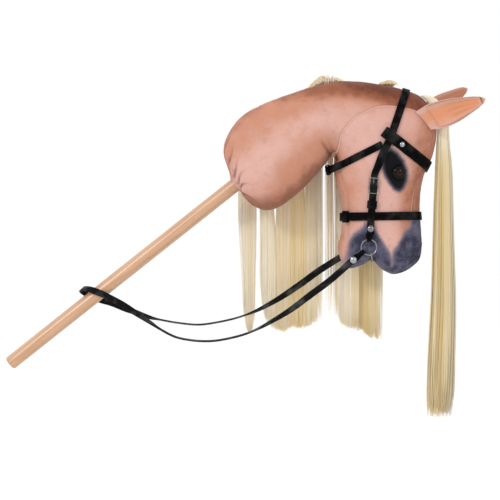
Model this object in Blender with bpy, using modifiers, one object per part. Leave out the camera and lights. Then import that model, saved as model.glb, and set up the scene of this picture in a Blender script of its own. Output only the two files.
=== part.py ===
"""Hobby horse: a stuffed fabric horse head and neck on a beech stick, with a strap bridle, bit, reins and mane.

Metres, +Z up. +X runs from the stick's lower end towards the nose, and -Y is the near side. The origin is
the grip point on the stick's axis. Near and far pieces mirror each other across the plane Y = 0.
"""

import math

import bmesh
import bpy
import numpy as np
from mathutils import Matrix, Vector
from mathutils.bvhtree import BVHTree

MM = 0.001

# Stick
STICK_DIAMETER = 25 * MM
STICK_BELOW_GRIP = 346 * MM
STICK_ABOVE_GRIP = 369 * MM
STICK_RISE = math.radians(38.44)
STICK_END_ROUNDING = 5 * MM

# Fabric head and neck: rows of crest x, z, underside x, z and half width, from the neck's base to the mouth
NECK_HOLE_AT = 172.5 * MM
COVER_THICKNESS = 1.4 * MM
GAP = 0.3 * MM
STICK_CLEARANCE = 0.4 * MM
SECTIONS_MM = (
    (113, 170, 155, 78, 44),
    (128, 211, 184, 61, 60),
    (162, 242, 212, 65, 65),
    (216, 266, 247, 89, 65),
    (272, 284, 278, 120, 61),
    (322, 295, 299, 144, 56),
    (373, 293, 308, 151, 53),
    (430, 282, 311, 138, 53),
    (475, 263, 317, 109, 55),
    (498, 220, 325, 79, 55),
    (493, 165, 327, 46, 52),
    (474, 120, 325, 21, 48),
    (468, 75, 320, 1, 44),
    (470, 37, 321, -14, 42),
    (472, 3, 324, -25, 41),
)
FULLNESS = 0.9
RINGS_PER_ROW = 2
SEGMENTS = 24
# Depth of the chin and muzzle below the last row, by the share of the way from the chin to the nose
MOUTH_DEPTH_MM = (
    (0.0, 0), (0.04, 14), (0.09, 20.5), (0.16, 21), (0.26, 18.4), (0.34, 13.5), (0.371, 10.5),
    (0.41, 20), (0.46, 32), (0.53, 41), (0.60, 46), (0.72, 45), (0.84, 38), (0.94, 26), (1.0, 0),
)
MOUTH_RINGS = 4
MOUTH_HOLLOW = 24 * MM
STAND_BACK = 2 * MM
CHEEK_SEAM_MM = (
    (306, 128), (308, 151), (319, 170), (326, 197), (340, 217), (353, 229), (375, 240), (390, 246),
    (414, 248), (446, 243), (470, 237), (520, 236),
)
# Corners that close the seam's outline below the head, and a box that holds the whole cover
HEAD_REGION_MM = ((560, -90), (290, -90), (290, 100))
COVER_BOX_MM = ((0, -100, -90), (600, 100, 320))
MOUTH_X = 382.5 * MM
GUSSET_HALF = 26 * MM
SEAM_GAP = 0.5 * MM

# Eyes
EYE_X = 427 * MM
EYE_Z = 128 * MM
EYE_DIAMETER = 26 * MM
EYE_HEIGHT = 8 * MM
EYE_SHANK_DIAMETER = 5 * MM
EYE_SHANK_LENGTH = 15 * MM
EYE_WASHER_DIAMETER = 21 * MM
EYE_WASHER_THICKNESS = 1.6 * MM

# Ears: root, tip, turn about the ear's own axis, half breadth, cupping depth, fabric thickness
EAR_ROOT_NEAR = Vector((471, -40, 221)) * MM
EAR_TIP_NEAR = Vector((580, -62, 258.5)) * MM
EAR_ROLL_NEAR = math.radians(0)
EAR_ROOT_FAR = Vector((470, 38, 228)) * MM
EAR_TIP_FAR = Vector((558, 66, 284.5)) * MM
EAR_ROLL_FAR = math.radians(38)
EAR_HALF_BREADTH = 25 * MM
# How far the lower corner of each sewn root stands ahead of its middle
EAR_SLANT_NEAR = 8 * MM
EAR_SLANT_FAR = 0.0
EAR_CUP = 9 * MM
EAR_FABRIC = 1.6 * MM

# Hair
MANE_THICKNESS = 8 * MM
MANE_WRAP = 62 * MM
# Locks: name, first and last x, lower end, and how far the lock's middle stands off the band and off the side
MANE_LOCKS_MM = (
    ("mane_lock_withers", 141, 172, -157, 7.2, 7.6),
    ("mane_lock_neck_rear", 181, 237, -152, 8, 7.6),
    ("mane_lock_neck_front", 238, 291, -150, 8, 7.6),
    ("mane_lock_throat", 312, 357, -147, 7.3, 9),
    ("mane_lock_cheek", 358, 402, -170, 7.3, 19.5),
)
MANE_BAND_HEIGHT = 12 * MM
MANE_BAND_THICKNESS = 1.5 * MM
MANE_BAND_DROP = 6 * MM
# Forelock: x, z and breadth, from the poll down
FORELOCK_MM = (
    (494, 254, 16), (503, 240, 20), (509, 218, 20), (509.5, 188, 21), (511.5, 134, 31), (511.5, 62, 37),
    (512, -10, 41), (513, -100, 48), (510, -190, 50), (508, -262, 50), (504, -310, 34),
)
FORELOCK_DEPTH = 30 * MM

# Straps
STRAP_THICKNESS = 1.5 * MM
HEADPIECE_WIDTH = 14 * MM
HEADPIECE_TAIL_WIDTH = 12.5 * MM
CHEEKPIECE_WIDTH = 13 * MM
RING_LOOP_WIDTH = 9 * MM
BROWBAND_WIDTH = 20 * MM
THROATLATCH_WIDTH = 13 * MM
NOSEBAND_WIDTH = 15 * MM
STATION = 8 * MM
HEADPIECE_TOP_MM = (443, 278)
HEADPIECE_SIDE_MM = (411, 187)
HEADPIECE_TAIL_MM = ((404, 173), (397, 158), (391.5, 143))
BROWBAND_FRONT_MM = (486, 137)
BROWBAND_SIDE_MM = (440, 171)
BROWBAND_LOOP_MM = ((432, 177.5), (420, 186.5), (410, 194))
BROWBAND_END_MM = (437, 173.7)
THROAT_CENTRE_MM = (345, 152)
THROAT_END_MM = (303, 131)
THROAT_SIDE_ANGLE = math.radians(137)
THROAT_SLACK = 10 * MM
THROAT_KEEPER_Y = -13 * MM
NOSEBAND_CENTRE_MM = (398, 50.5)
NOSEBAND_FRONT_MM = (468, 51.5)
NOSEBAND_KEEPER_AT = math.radians(204)
LOOP_LENGTH = 12 * MM

# Cheek buckles: places along the straight run of the cheek strap, up from its middle
RUN_MIDDLE_MM = (381.5, 88)
RUN_SLOPE = (0.092, 0.996)
BUCKLE_AT = 17 * MM
BUCKLE_HALF_LENGTH = 13.6 * MM
BUCKLE_HALF_WIDTH = 8.2 * MM
BUCKLE_CORNER = 2.5 * MM
BUCKLE_WIRE = 1.8 * MM
TONGUE_WIRE = 1.3 * MM
TURN_THICKNESS = 0.9 * MM
TONGUE_SLOT = 3 * MM
KEEPER_AT = -17 * MM
KEEPER_LENGTH = 14 * MM
KEEPER_WALL = 1.5 * MM
KEEPER_CLEARANCE = 0.6 * MM
TAIL_END = -27 * MM

# Bit, rivets and reins
RING_RADIUS = 13.8 * MM
RING_WIRE = 2.4 * MM
RING_CENTRE_MM = (374, -5)
RING_PLAY = 0.35 * MM
MOUTH_BAR_MM = (381.5, -30)
MOUTH_BAR_DIAMETER = 6 * MM
BIT_WIRE = 3 * MM
CHEEK_STRAP_DOWN_MM = ((378.3, 52), (377.9, 45))
CHEEK_RIVET_MM = (377, 28)
CHEEK_RIVET_DIAMETER = 12 * MM
BROW_RIVET_DIAMETER = 9 * MM
REIN_RIVET_DIAMETER = 12 * MM
REIN_RIVET_AT = 36 * MM
RIVET_SHANK = 3 * MM
RIVET_BACK = 0.9 * MM
REIN_WIDTH = 12 * MM
REIN_THICKNESS = 2 * MM
REIN_END_NEAR = math.radians(219.4)
REIN_END_FAR = math.radians(199.4)
# The reins' way from the near end, round the stick and back: x, y, z and the twist from facing sideways
REIN_PATH = (
    (306, -46, -63, 0), (270, -44, -90, 10), (234, -42, -117, 35), (198, -40, -139, 60),
    (171, -38, -153, 78), (144, -36, -163, 88), (108, -33, -171, 90), (81, -31, -173, 90), (54, -29, -171, 90),
    (27, -26, -165, 90), (0, -24, -151, 80), (-18, -22, -139, 60), (-49, -19, -119, 30), (-72, -16, -105, 5),
    (-90, -15.4, -95, 0), (-108, -15.4, -87, 0), (-124, -14.5, -81, 0), (-137, -9, -79, 0), (-141, 0, -81, 0),
    (-137, 9, -86, 0), (-124, 14.5, -94, 0), (-108, 15.4, -101, 0), (-90, 15.4, -108, 0), (-72, 16, -114, 5),
    (-49, 18, -122, 30), (-18, 20, -132, 60), (0, 22, -136, 80), (27, 24, -141, 90), (63, 27, -145, 90),
    (90, 29, -143, 90), (126, 32, -136, 90), (153, 34, -128, 80), (180, 36, -117, 60), (216, 39, -97, 35),
    (252, 41, -73, 10), (288, 45, -47, 0),
)

PARTS = bpy.data.collections.new("Hobby_horse")
CUTTERS = bpy.data.collections.new("Cutters")

COLOURS = {
    "beech": ((0.72, 0.42, 0.20), 0.35, 0.0),
    "coat": ((0.68, 0.36, 0.26), 0.85, 0.0),
    "stuffing": ((0.85, 0.84, 0.80), 0.95, 0.0),
    "hair": ((0.78, 0.66, 0.40), 0.6, 0.0),
    "strap": ((0.012, 0.012, 0.014), 0.45, 0.0),
    "steel": ((0.70, 0.70, 0.72), 0.2, 1.0),
    "eye": ((0.02, 0.012, 0.01), 0.1, 0.0),
    "washer": ((0.75, 0.75, 0.75), 0.5, 0.0),
}


def clear_scene():
    for obj in list(bpy.data.objects):
        bpy.data.objects.remove(obj, do_unlink=True)
    for collection in (PARTS, CUTTERS):
        bpy.context.scene.collection.children.link(collection)


def material(name):
    if name in bpy.data.materials:
        return bpy.data.materials[name]
    colour, rough, metal = COLOURS[name]
    made = bpy.data.materials.new(name)
    made.use_nodes = True
    shader = made.node_tree.nodes["Principled BSDF"]
    shader.inputs["Base Color"].default_value = (*colour, 1)
    shader.inputs["Roughness"].default_value = rough
    shader.inputs["Metallic"].default_value = metal
    return made


def through(rows, per_span):
    """Points on a smooth curve through the rows, per_span of them to each span, ends included."""
    rows = np.asarray(rows, float)
    padded = np.vstack([2 * rows[0] - rows[1], rows, 2 * rows[-1] - rows[-2]])
    t = (np.arange(per_span) / per_span)[:, None]
    spans = []
    for a, b, c, d in zip(padded, padded[1:], padded[2:], padded[3:]):
        spans.append(
            0.5 * (2 * b + (c - a) * t + (2 * a - 5 * b + 4 * c - d) * t**2 + (3 * b - a - 3 * c + d) * t**3)
        )
    return np.vstack([*spans, rows[-1:]])


def unit(rows):
    rows = np.asarray(rows, float)
    return rows / np.linalg.norm(rows, axis=-1, keepdims=True)


def new_object(name, mesh, colour, collection=PARTS):
    obj = bpy.data.objects.new(name, mesh)
    collection.objects.link(obj)
    if collection is CUTTERS:
        obj.hide_render = True
        obj.display_type = "WIRE"
    else:
        mesh.materials.append(material(colour))
        mesh.shade_smooth()
        mesh.set_sharp_from_angle(angle=math.radians(40))
    return obj


def mesh_of(name, points, faces):
    """A mesh with doubles merged and its faces pointing out."""
    shape = bmesh.new()
    corners = [shape.verts.new(point) for point in points]
    for face in faces:
        shape.faces.new([corners[i] for i in face])
    bmesh.ops.remove_doubles(shape, verts=shape.verts, dist=1e-5)
    bmesh.ops.recalc_face_normals(shape, faces=shape.faces)
    mesh = bpy.data.meshes.new(name)
    shape.to_mesh(mesh)
    shape.free()
    return mesh


def grid_faces(rows, columns, closed_rows=False, closed_columns=False):
    """Quads of a grid of rows x columns points, whose last row or column may join the first."""
    last_row = rows if closed_rows else rows - 1
    last_column = columns if closed_columns else columns - 1
    return [
        (
            i * columns + j,
            i * columns + (j + 1) % columns,
            (i + 1) % rows * columns + (j + 1) % columns,
            (i + 1) % rows * columns + j,
        )
        for i in range(last_row)
        for j in range(last_column)
    ]


def prism(name, outline, low, high, collection=CUTTERS, colour=None):
    """A closed outline in the XZ plane, given depth along Y from low to high."""
    count = len(outline)
    points = [(x, y, z) for y in (low, high) for x, z in outline]
    sides = [(i, (i + 1) % count, count + (i + 1) % count, count + i) for i in range(count)]
    faces = [*sides, tuple(range(count)), tuple(range(2 * count - 1, count - 1, -1))]
    return new_object(name, mesh_of(name, points, faces), colour, collection)


def block(name, low, high):
    """A box cutter between two corners."""
    corners = [(low[0], low[2]), (high[0], low[2]), (high[0], high[2]), (low[0], high[2])]
    return prism(name, corners, low[1], high[1])


def boolean(obj, cutter, operation="DIFFERENCE"):
    modifier = obj.modifiers.new(f"{operation.lower()} {cutter.name}", "BOOLEAN")
    modifier.object = cutter
    modifier.operation = operation
    return modifier


def frame_on(origin, out, along):
    """Axes at origin: local Z along out, local Y as near along as it can be, local X across."""
    z = Vector(out).normalized()
    x = Vector(along).cross(z).normalized()
    y = z.cross(x)
    matrix = Matrix((x, y, z)).transposed().to_4x4()
    matrix.translation = origin
    return matrix


def turned(name, profile, colour, place, steps=20, collection=PARTS):
    """A profile of (radius, height) points, top first, turned about the local Z axis."""
    mesh = bpy.data.meshes.new(name)
    points = [(radius, 0, height) for radius, height in profile]
    mesh.from_pydata(points, [(i, i + 1) for i in range(len(points) - 1)], [])
    obj = new_object(name, mesh, colour, collection)
    screw = obj.modifiers.new("turn", "SCREW")
    screw.steps = screw.render_steps = steps
    screw.use_merge_vertices = True
    screw.merge_threshold = 1e-5
    obj.matrix_world = place
    return obj


def far_twin(near, name, colour):
    """The far side's copy of a near piece, mirrored across Y = 0, with its origin mirrored too."""
    bpy.context.view_layer.update()
    mesh = bpy.data.meshes.new_from_object(near.evaluated_get(bpy.context.evaluated_depsgraph_get()))
    origin = near.matrix_world.translation.copy()
    origin.y = -origin.y
    mesh.transform(near.matrix_world)
    mesh.transform(Matrix.Diagonal((1, -1, 1, 1)))
    mesh.flip_normals()
    mesh.transform(Matrix.Translation(-origin))
    mesh.materials.clear()
    obj = new_object(name, mesh, colour)
    obj.location = origin
    return obj


# Form of the stuffed head and neck


def stick_axis():
    return np.array([math.cos(STICK_RISE), 0, math.sin(STICK_RISE)])


def sections():
    """The rows of the form in metres, with the hole round the stick first."""
    axis = stick_axis()
    radius = STICK_DIAMETER / 2 + STICK_CLEARANCE + GAP
    centre = axis * NECK_HOLE_AT
    rise = np.array([-axis[2], 0, axis[0]]) * radius
    crest, under = centre + rise, centre - rise
    return np.vstack([[crest[0], crest[2], under[0], under[2], radius], np.array(SECTIONS_MM) * MM])


def skin_rings(per_row, segments):
    """Points (ring, segment, 3) of the outer form: ellipse-like sections, then the closing lips."""
    rows = through(sections(), per_row)
    angle = np.arange(segments) * 2 * math.pi / segments
    share = np.cos(angle)[None, :, None]
    crest, under = rows[:, None, 0:2], rows[:, None, 2:4]
    side_view = (crest + under) / 2 + (crest - under) / 2 * share
    sine = np.sin(angle)
    across = rows[:, 4:5] * (np.sign(sine) * np.abs(sine) ** FULLNESS)[None, :]
    rings = [np.dstack([side_view[..., 0], across, side_view[..., 1]])]
    depths = np.array(MOUTH_DEPTH_MM)
    depth = np.interp((1 + np.cos(angle)) / 2, depths[:, 0], depths[:, 1] * MM)
    arm = unit(crest[-1, 0] - under[-1, 0])
    down = np.array([arm[1], -arm[0]])
    for ring in range(1, MOUTH_RINGS + 1):
        turn = math.radians(90) * ring / MOUTH_RINGS
        flat = side_view[-1] + down * (depth * math.sin(turn))[:, None]
        y = across[-1] * (math.cos(turn) if ring < MOUTH_RINGS else 0)
        rings.append(np.column_stack([flat[:, 0], y, flat[:, 1]])[None])
    return np.concatenate(rings)


def skin_mesh(name, per_row, segments, capped):
    rings = skin_rings(per_row, segments)
    faces = grid_faces(len(rings), segments, closed_columns=True)
    if capped:
        faces.append(tuple(range(segments)))
    return mesh_of(name, rings.reshape(-1, 3), faces)


def fine_skin():
    """A finer form than the solids have, which the bridle is fitted on."""
    rings = skin_rings(8, 72)
    points = [Vector(point) for point in rings.reshape(-1, 3)]
    return BVHTree.FromPolygons(points, grid_faces(len(rings), 72, closed_columns=True), epsilon=0)


SKIN = fine_skin()
FAR_AWAY = 400 * MM


def on_side(x, z, side=-1):
    """Where the head's side is at x, z, and which way it faces."""
    point, normal, _, _ = SKIN.ray_cast(Vector((x, side * FAR_AWAY, z)), Vector((0, -side, 0)))
    if point is None:
        raise ValueError(f"no fabric at {x:.3f}, {z:.3f}")
    return point, normal if normal.y * side > 0 else -normal


def lay_on_side(path_mm, lifts, side=-1):
    """Points standing off the head's side above a path in the side view, and their outward directions."""
    path = np.asarray(path_mm) * MM
    found = [on_side(x, z, side) for x, z in path]
    ups = unit([normal for _, normal in found])
    return np.array([point for point, _ in found]) + ups * np.asarray(lifts)[:, None], ups


def round_from(centre, towards, angles, lifts):
    """Points round the head in the plane of Y and towards, seen from a centre inside it. Angle 0 is towards."""
    centre = Vector((centre[0] * MM, 0, centre[1] * MM))
    forward = Vector((towards[0] * MM, 0, towards[1] * MM)) - centre
    forward.normalize()
    points, ups = [], []
    for angle in angles:
        ray = forward * math.cos(angle) + Vector((0, math.sin(angle), 0))
        point, normal, _, _ = SKIN.ray_cast(centre, ray)
        points.append(point)
        ups.append(normal if normal.dot(ray) > 0 else -normal)
    ups = unit(ups)
    return np.array(points) + ups * np.asarray(lifts)[:, None], ups


def resample(points, ups, spacing):
    """The same path at even steps."""
    steps = np.linalg.norm(np.diff(points, axis=0), axis=1)
    reach = np.concatenate([[0], np.cumsum(steps)])
    at = np.linspace(0, reach[-1], max(2, round(reach[-1] / spacing) + 1))
    even = [np.column_stack([np.interp(at, reach, column) for column in np.transpose(part)]) for part in (points, ups)]
    return even[0], unit(even[1])


def strap(name, points, ups, width, thickness=STRAP_THICKNESS, closed=False, colour="strap", collection=PARTS):
    """A flat strap: a rectangle carried along the points, its face turned to ups. Its sizes may vary by station."""
    points = np.asarray(points, float)
    if closed:
        tangent = unit(np.roll(points, -1, axis=0) - np.roll(points, 1, axis=0))
    else:
        tangent = unit(np.gradient(points, axis=0))
    across = unit(np.cross(tangent, ups))
    out = np.cross(across, tangent)
    half = np.broadcast_to(np.asarray(width, float) / 2, len(points))[:, None]
    rise = np.broadcast_to(np.asarray(thickness, float) / 2, len(points))[:, None]
    corners = [points + across * half * a + out * rise * b for a, b in ((-1, -1), (1, -1), (1, 1), (-1, 1))]
    grid = np.stack(corners, axis=1)
    faces = grid_faces(len(points), 4, closed_rows=closed, closed_columns=True)
    if not closed:
        last = (len(points) - 1) * 4
        faces += [(0, 1, 2, 3), (last + 3, last + 2, last + 1, last)]
    return new_object(name, mesh_of(name, grid.reshape(-1, 3), faces), colour, collection)


def make_stick():
    radius = STICK_DIAMETER / 2
    low, high, r = -STICK_BELOW_GRIP, STICK_ABOVE_GRIP, STICK_END_ROUNDING
    ends = [math.radians(a) for a in (0, 30, 60, 90)]
    top = [(radius - r + r * math.sin(a), high - r + r * math.cos(a)) for a in ends]
    bottom = [(radius - r + r * math.cos(a), low + r - r * math.sin(a)) for a in ends]
    place = Matrix.Rotation(math.radians(90) - STICK_RISE, 4, "Y")
    return turned("stick", [(0, high), *top, *bottom, (0, low)], "beech", place, steps=24)


def make_cover():
    """The fabric cover: two neck panels, two cheek panels and the front and jaw gussets, cut along their seams."""
    seam = through(CHEEK_SEAM_MM, 3) * MM
    slope = unit(np.gradient(seam, axis=0))
    above = seam + np.column_stack([-slope[:, 1], slope[:, 0]]) * SEAM_GAP
    (rear, near, low), (front, far, high) = np.array(COVER_BOX_MM) * MM
    box = [(x * MM, z * MM) for x, z in HEAD_REGION_MM]
    head = prism("head_region", [*map(tuple, seam), *box], near, far)
    beyond = prism("head_region_and_seam", [*map(tuple, above), *box], near, far)
    half, gusset = SEAM_GAP / 2, GUSSET_HALF
    regions = {
        "near_half": block("near_half", (rear, near, low), (front, -half, high)),
        "far_half": block("far_half", (rear, half, low), (front, far, high)),
        "near_cheek": block("near_cheek", (rear, near, low), (front, -gusset - half, high)),
        "far_cheek": block("far_cheek", (rear, gusset + half, low), (front, far, high)),
        "front": block("front", (MOUTH_X + half, -gusset + half, low), (front, gusset - half, high)),
        "behind": block("behind", (rear, -gusset + half, low), (MOUTH_X - half, gusset - half, high)),
    }
    pieces = {}
    for name, region, in_head in (
        ("neck_panel_near", "near_half", False),
        ("neck_panel_far", "far_half", False),
        ("cheek_panel_near", "near_cheek", True),
        ("cheek_panel_far", "far_cheek", True),
        ("front_gusset", "front", True),
        ("jaw_gusset", "behind", True),
    ):
        piece = new_object(name, skin_mesh(name, RINGS_PER_ROW, SEGMENTS, False), "coat")
        wall = piece.modifiers.new("fabric", "SOLIDIFY")
        wall.thickness = COVER_THICKNESS
        wall.offset = -1
        wall.use_even_offset = True
        if in_head:
            boolean(piece, head, "INTERSECT")
        else:
            boolean(piece, beyond)
        boolean(piece, regions[region], "INTERSECT")
        pieces[name] = piece
    return pieces


def make_filling():
    """The stuffing, just inside the cover, with a bore for the stick."""
    mesh = skin_mesh("filling", RINGS_PER_ROW, SEGMENTS, True)
    shape = bmesh.new()
    shape.from_mesh(mesh)
    shape.normal_update()
    moves = []
    for vert in shape.verts:
        at_mouth = math.hypot(vert.co.x - MOUTH_X, vert.co.z - MOUTH_BAR_MM[1] * MM) < MOUTH_HOLLOW
        inset = COVER_THICKNESS + 2 * GAP + (STAND_BACK if at_mouth else 0)
        moves.append((vert, vert.normal * inset * vert.calc_shell_factor()))
    for vert, move in moves:
        vert.co -= move
    shape.to_mesh(mesh)
    shape.free()
    filling = new_object("filling", mesh, "stuffing")
    radius = STICK_DIAMETER / 2 + STICK_CLEARANCE
    end = STICK_ABOVE_GRIP + 2 * MM
    place = Matrix.Rotation(math.radians(90) - STICK_RISE, 4, "Y")
    bore = turned("stick_bore", [(0, end), (radius, end), (radius, 0), (0, 0)], None, place, 32, CUTTERS)
    boolean(filling, bore)
    return filling


def make_eyes(cover, filling):
    """Domed eyes on a shank through the cheek panel, held by a washer in a pocket of the filling."""
    point, normal = on_side(EYE_X, EYE_Z)
    place = frame_on(point, normal, (0, 0, 1))
    radius, shank = EYE_DIAMETER / 2, EYE_SHANK_DIAMETER / 2
    dome = [
        (radius * math.sin(a), 2 * GAP + EYE_HEIGHT * math.cos(a))
        for a in (math.radians(18 * i) for i in range(6))
    ]
    profile = [*dome, (shank, 2 * GAP), (shank, -EYE_SHANK_LENGTH), (0, -EYE_SHANK_LENGTH)]
    eye = turned("eye_near", profile, "eye", place, 18)
    far_twin(eye, "eye_far", "eye")
    bore = shank + GAP
    hole = turned("eye_hole", [(0, 0.01), (bore, 0.01), (bore, -0.01), (0, -0.01)], None, place, 16, CUTTERS)
    boolean(cover["cheek_panel_near"], hole)
    back = -EYE_SHANK_LENGTH - 2 * MM
    room = EYE_WASHER_DIAMETER / 2 + 1 * MM
    pocket = turned("eye_pocket", [(0, 0.02), (room, 0.02), (room, back), (0, back)], None, place, 20, CUTTERS)
    boolean(filling, pocket)
    low = -COVER_THICKNESS - 2 * GAP - EYE_WASHER_THICKNESS - 1.2 * MM
    high = low + EYE_WASHER_THICKNESS
    rim = EYE_WASHER_DIAMETER / 2
    ring = [(bore, high), (rim, high), (rim, low), (bore, low), (bore, high)]
    washer = turned("eye_washer_near", ring, "washer", place, 16)
    far_twin(washer, "eye_washer_far", "washer")
    for near, far in ((hole, cover["cheek_panel_far"]), (pocket, filling)):
        twin = far_twin(near, near.name + "_far", "washer")
        PARTS.objects.unlink(twin)
        CUTTERS.objects.link(twin)
        twin.hide_render = True
        twin.display_type = "WIRE"
        boolean(far, twin)


def ear_grid(root, tip, roll, slant, side, offset, reach, share):
    """A leaf cupped about its long axis: breadth follows a bulged sine, and the root is drawn in."""
    along = np.linspace(*reach, 9)[:, None]
    across = np.linspace(-share, share, 7)[None, :]
    axis = np.array(tip - root)
    length = np.linalg.norm(axis)
    forward = axis / length
    up = unit(np.cross(forward, (0, 1, 0)) * -1)
    out = np.cross(up, forward) * side
    up, out = up * math.cos(roll) - out * math.sin(roll), out * math.cos(roll) + up * math.sin(roll)
    breadth = EAR_HALF_BREADTH * (np.sin(math.pi * (0.2 + 0.8 * along) ** 0.85)) ** 0.8
    cup = EAR_CUP * (1 - across**2) * np.sin(math.pi * (0.25 + 0.7 * along)) + offset
    line = np.array(root) + forward * (length * along + slant * across * (1 - along))[..., None]
    return line + up * (breadth * across)[..., None] + out * cup[..., None]


def clear_of_head(grid, side, clearances, sewn):
    """Moves a grid's points out to each row's clearance from the head's side. A sewn first row lies on the head."""
    for row, (points, clearance) in enumerate(zip(grid, clearances)):
        for point in points:
            found = SKIN.ray_cast(Vector((point[0], side * FAR_AWAY, point[2])), Vector((0, -side, 0)))[0]
            if found:
                clear = found.y * side + clearance
                point[1] = side * (clear if sewn and row == 0 else max(point[1] * side, clear))
    return grid


def make_ears():
    ears = (
        ("near", EAR_ROOT_NEAR, EAR_TIP_NEAR, EAR_ROLL_NEAR, EAR_SLANT_NEAR, -1),
        ("far", EAR_ROOT_FAR, EAR_TIP_FAR, EAR_ROLL_FAR, EAR_SLANT_FAR, 1),
    )
    for which, root, tip, roll, slant, side in ears:
        lining = -1.4 * EAR_FABRIC - 2 * GAP
        for name, offset, reach, share in (("ear", 0, (0, 1), 1), ("ear_lining", lining, (0.16, 0.93), 0.84)):
            grid = ear_grid(root, tip, roll, slant, side, offset, reach, share)
            seat, under = EAR_FABRIC / 2 + GAP, 3 * EAR_FABRIC + GAP
            clearances = [seat, *[under] * 8] if name == "ear" else [seat] * 9
            grid = clear_of_head(grid, side, clearances, name == "ear")
            full = f"{name}_{which}"
            mesh = mesh_of(full, grid.reshape(-1, 3), grid_faces(9, 7))
            piece = new_object(full, mesh, "coat")
            wall = piece.modifiers.new("fabric", "SOLIDIFY")
            wall.thickness = EAR_FABRIC
            wall.offset = 0
            wall.use_even_offset = True


def hair_line(x, low, on_band, stand_off):
    """The fall of hair at one x: from the crest over the far side's widest place, then straight down."""
    top = crest_height(x)
    centre = Vector((x, 0, top - MANE_WRAP))
    over = []
    for angle in np.radians(np.linspace(14, 90, 6)):
        ray = Vector((0, math.sin(angle), math.cos(angle)))
        point, normal = SKIN.ray_cast(centre, ray)[:2]
        normal = normal if normal.dot(ray) > 0 else -normal
        lift = np.interp(angle, np.radians((20, 70)), (on_band, stand_off)) / max(0.4, 1 - normal.x**2)
        over.append(np.array(point + normal * lift))
    over = np.array(over)
    over[:, 0] = x
    heights = np.linspace(over[-1, 2], low, 60)
    widest, out = over[-1, 1], []
    for z in heights:
        hit = SKIN.ray_cast(Vector((x, FAR_AWAY, z)), Vector((0, -1, 0)))[0]
        widest = max(widest, hit.y + stand_off if hit else 0.0)
        out.append(widest)
    down = np.linspace(over[-1, 2], low, 7)[1:]
    y = np.interp(-down, -heights, out)
    return np.vstack([over, np.column_stack([np.full(len(down), x), y, down])])


def crest_height(x):
    crest = through(sections(), 8)[:, 0:2]
    first = int(np.argmin(crest[:, 0]))
    last = int(np.argmax(crest[:, 0]))
    return float(np.interp(x, crest[first:last, 0], crest[first:last, 1]))


def make_mane():
    """Locks of long straight hair down the far side, sewn to a band along the crest."""
    for name, start, end, low, on_band, stand_off in MANE_LOCKS_MM:
        xs = np.linspace(start, end, 4) * MM
        grid = np.array([hair_line(x, low * MM, on_band * MM, stand_off * MM) for x in xs])
        mesh = mesh_of(name, grid.reshape(-1, 3), grid_faces(len(xs), grid.shape[1]))
        lock = new_object(name, mesh, "hair")
        body = lock.modifiers.new("hair", "SOLIDIFY")
        body.thickness = MANE_THICKNESS
        body.offset = 0
    xs = np.linspace(MANE_LOCKS_MM[0][1], MANE_LOCKS_MM[-1][2], 22) * MM
    points, ups = [], []
    for x in xs:
        point, normal = on_side(x, crest_height(x) - MANE_BAND_DROP, 1)
        points.append(point + normal * (GAP + MANE_BAND_THICKNESS / 2))
        ups.append(normal)
    strap("mane_band", points, ups, MANE_BAND_HEIGHT, MANE_BAND_THICKNESS, colour="hair")


def make_forelock():
    """A long tuft that hangs from the poll between the ears, in front of the face."""
    rows = through(FORELOCK_MM, 2) * MM
    path, breadth = rows[:, :2], rows[:, 2]
    for point, size in zip(path, breadth):
        front = SKIN.ray_cast(Vector((FAR_AWAY * 2, 0, point[1])), Vector((-1, 0, 0)))[0]
        if front:
            point[0] = max(point[0], front.x + size / 2 + 4 * GAP)
    tangent = unit(np.gradient(path, axis=0))
    across = np.column_stack([-tangent[:, 1], tangent[:, 0]])
    angle = np.arange(12) * math.tau / 12
    swell = FORELOCK_DEPTH / 2 * np.interp(np.linspace(0, 1, len(path)), (0, 0.3, 0.8, 1), (0.7, 0.9, 1.0, 0.6))
    flat = path[:, None] + across[:, None] * (breadth[:, None] / 2 * np.cos(angle))[..., None]
    y = swell[:, None] * np.sin(angle)
    grid = np.dstack([flat[..., 0], y, flat[..., 1]])
    faces = grid_faces(len(path), 12, closed_columns=True)
    last = (len(path) - 1) * 12
    faces += [tuple(range(12)), tuple(range(last + 11, last - 1, -1))]
    new_object("forelock", mesh_of("forelock", grid.reshape(-1, 3), faces), "hair")


# Bridle


def wire(name, points, diameter, colour, place=None, cyclic=False, collection=PARTS):
    """A round wire along the points, as a mesh whose caps are welded."""
    curve = bpy.data.curves.new(name, "CURVE")
    curve.dimensions = "3D"
    curve.bevel_depth = diameter / 2
    curve.bevel_resolution = 2
    curve.use_fill_caps = True
    spline = curve.splines.new("POLY")
    spline.points.add(len(points) - 1)
    spline.points.foreach_set("co", np.column_stack([points, np.ones(len(points))]).ravel())
    spline.use_cyclic_u = cyclic
    guide = bpy.data.objects.new(name + "_line", curve)
    CUTTERS.objects.link(guide)
    bpy.context.view_layer.update()
    mesh = bpy.data.meshes.new_from_object(guide.evaluated_get(bpy.context.evaluated_depsgraph_get()))
    bpy.data.objects.remove(guide)
    shape = bmesh.new()
    shape.from_mesh(mesh)
    bmesh.ops.remove_doubles(shape, verts=shape.verts, dist=1e-6)
    bmesh.ops.recalc_face_normals(shape, faces=shape.faces)
    shape.to_mesh(mesh)
    shape.free()
    obj = new_object(name, mesh, colour, collection)
    obj.matrix_world = place or Matrix()
    return obj


def both_halves(points, ups):
    """A path that starts on the middle plane, carried on to the far side as its mirror image."""
    mirror = np.array([1, -1, 1])
    return np.vstack([(points * mirror)[:0:-1], points]), np.vstack([(ups * mirror)[:0:-1], ups])


def run_frame():
    """The straight run of the near cheek strap: local Y up the strap, local Z away from the head."""
    point, normal = on_side(RUN_MIDDLE_MM[0] * MM, RUN_MIDDLE_MM[1] * MM)
    return frame_on(point, normal, (RUN_SLOPE[0], 0, RUN_SLOPE[1]))


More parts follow.
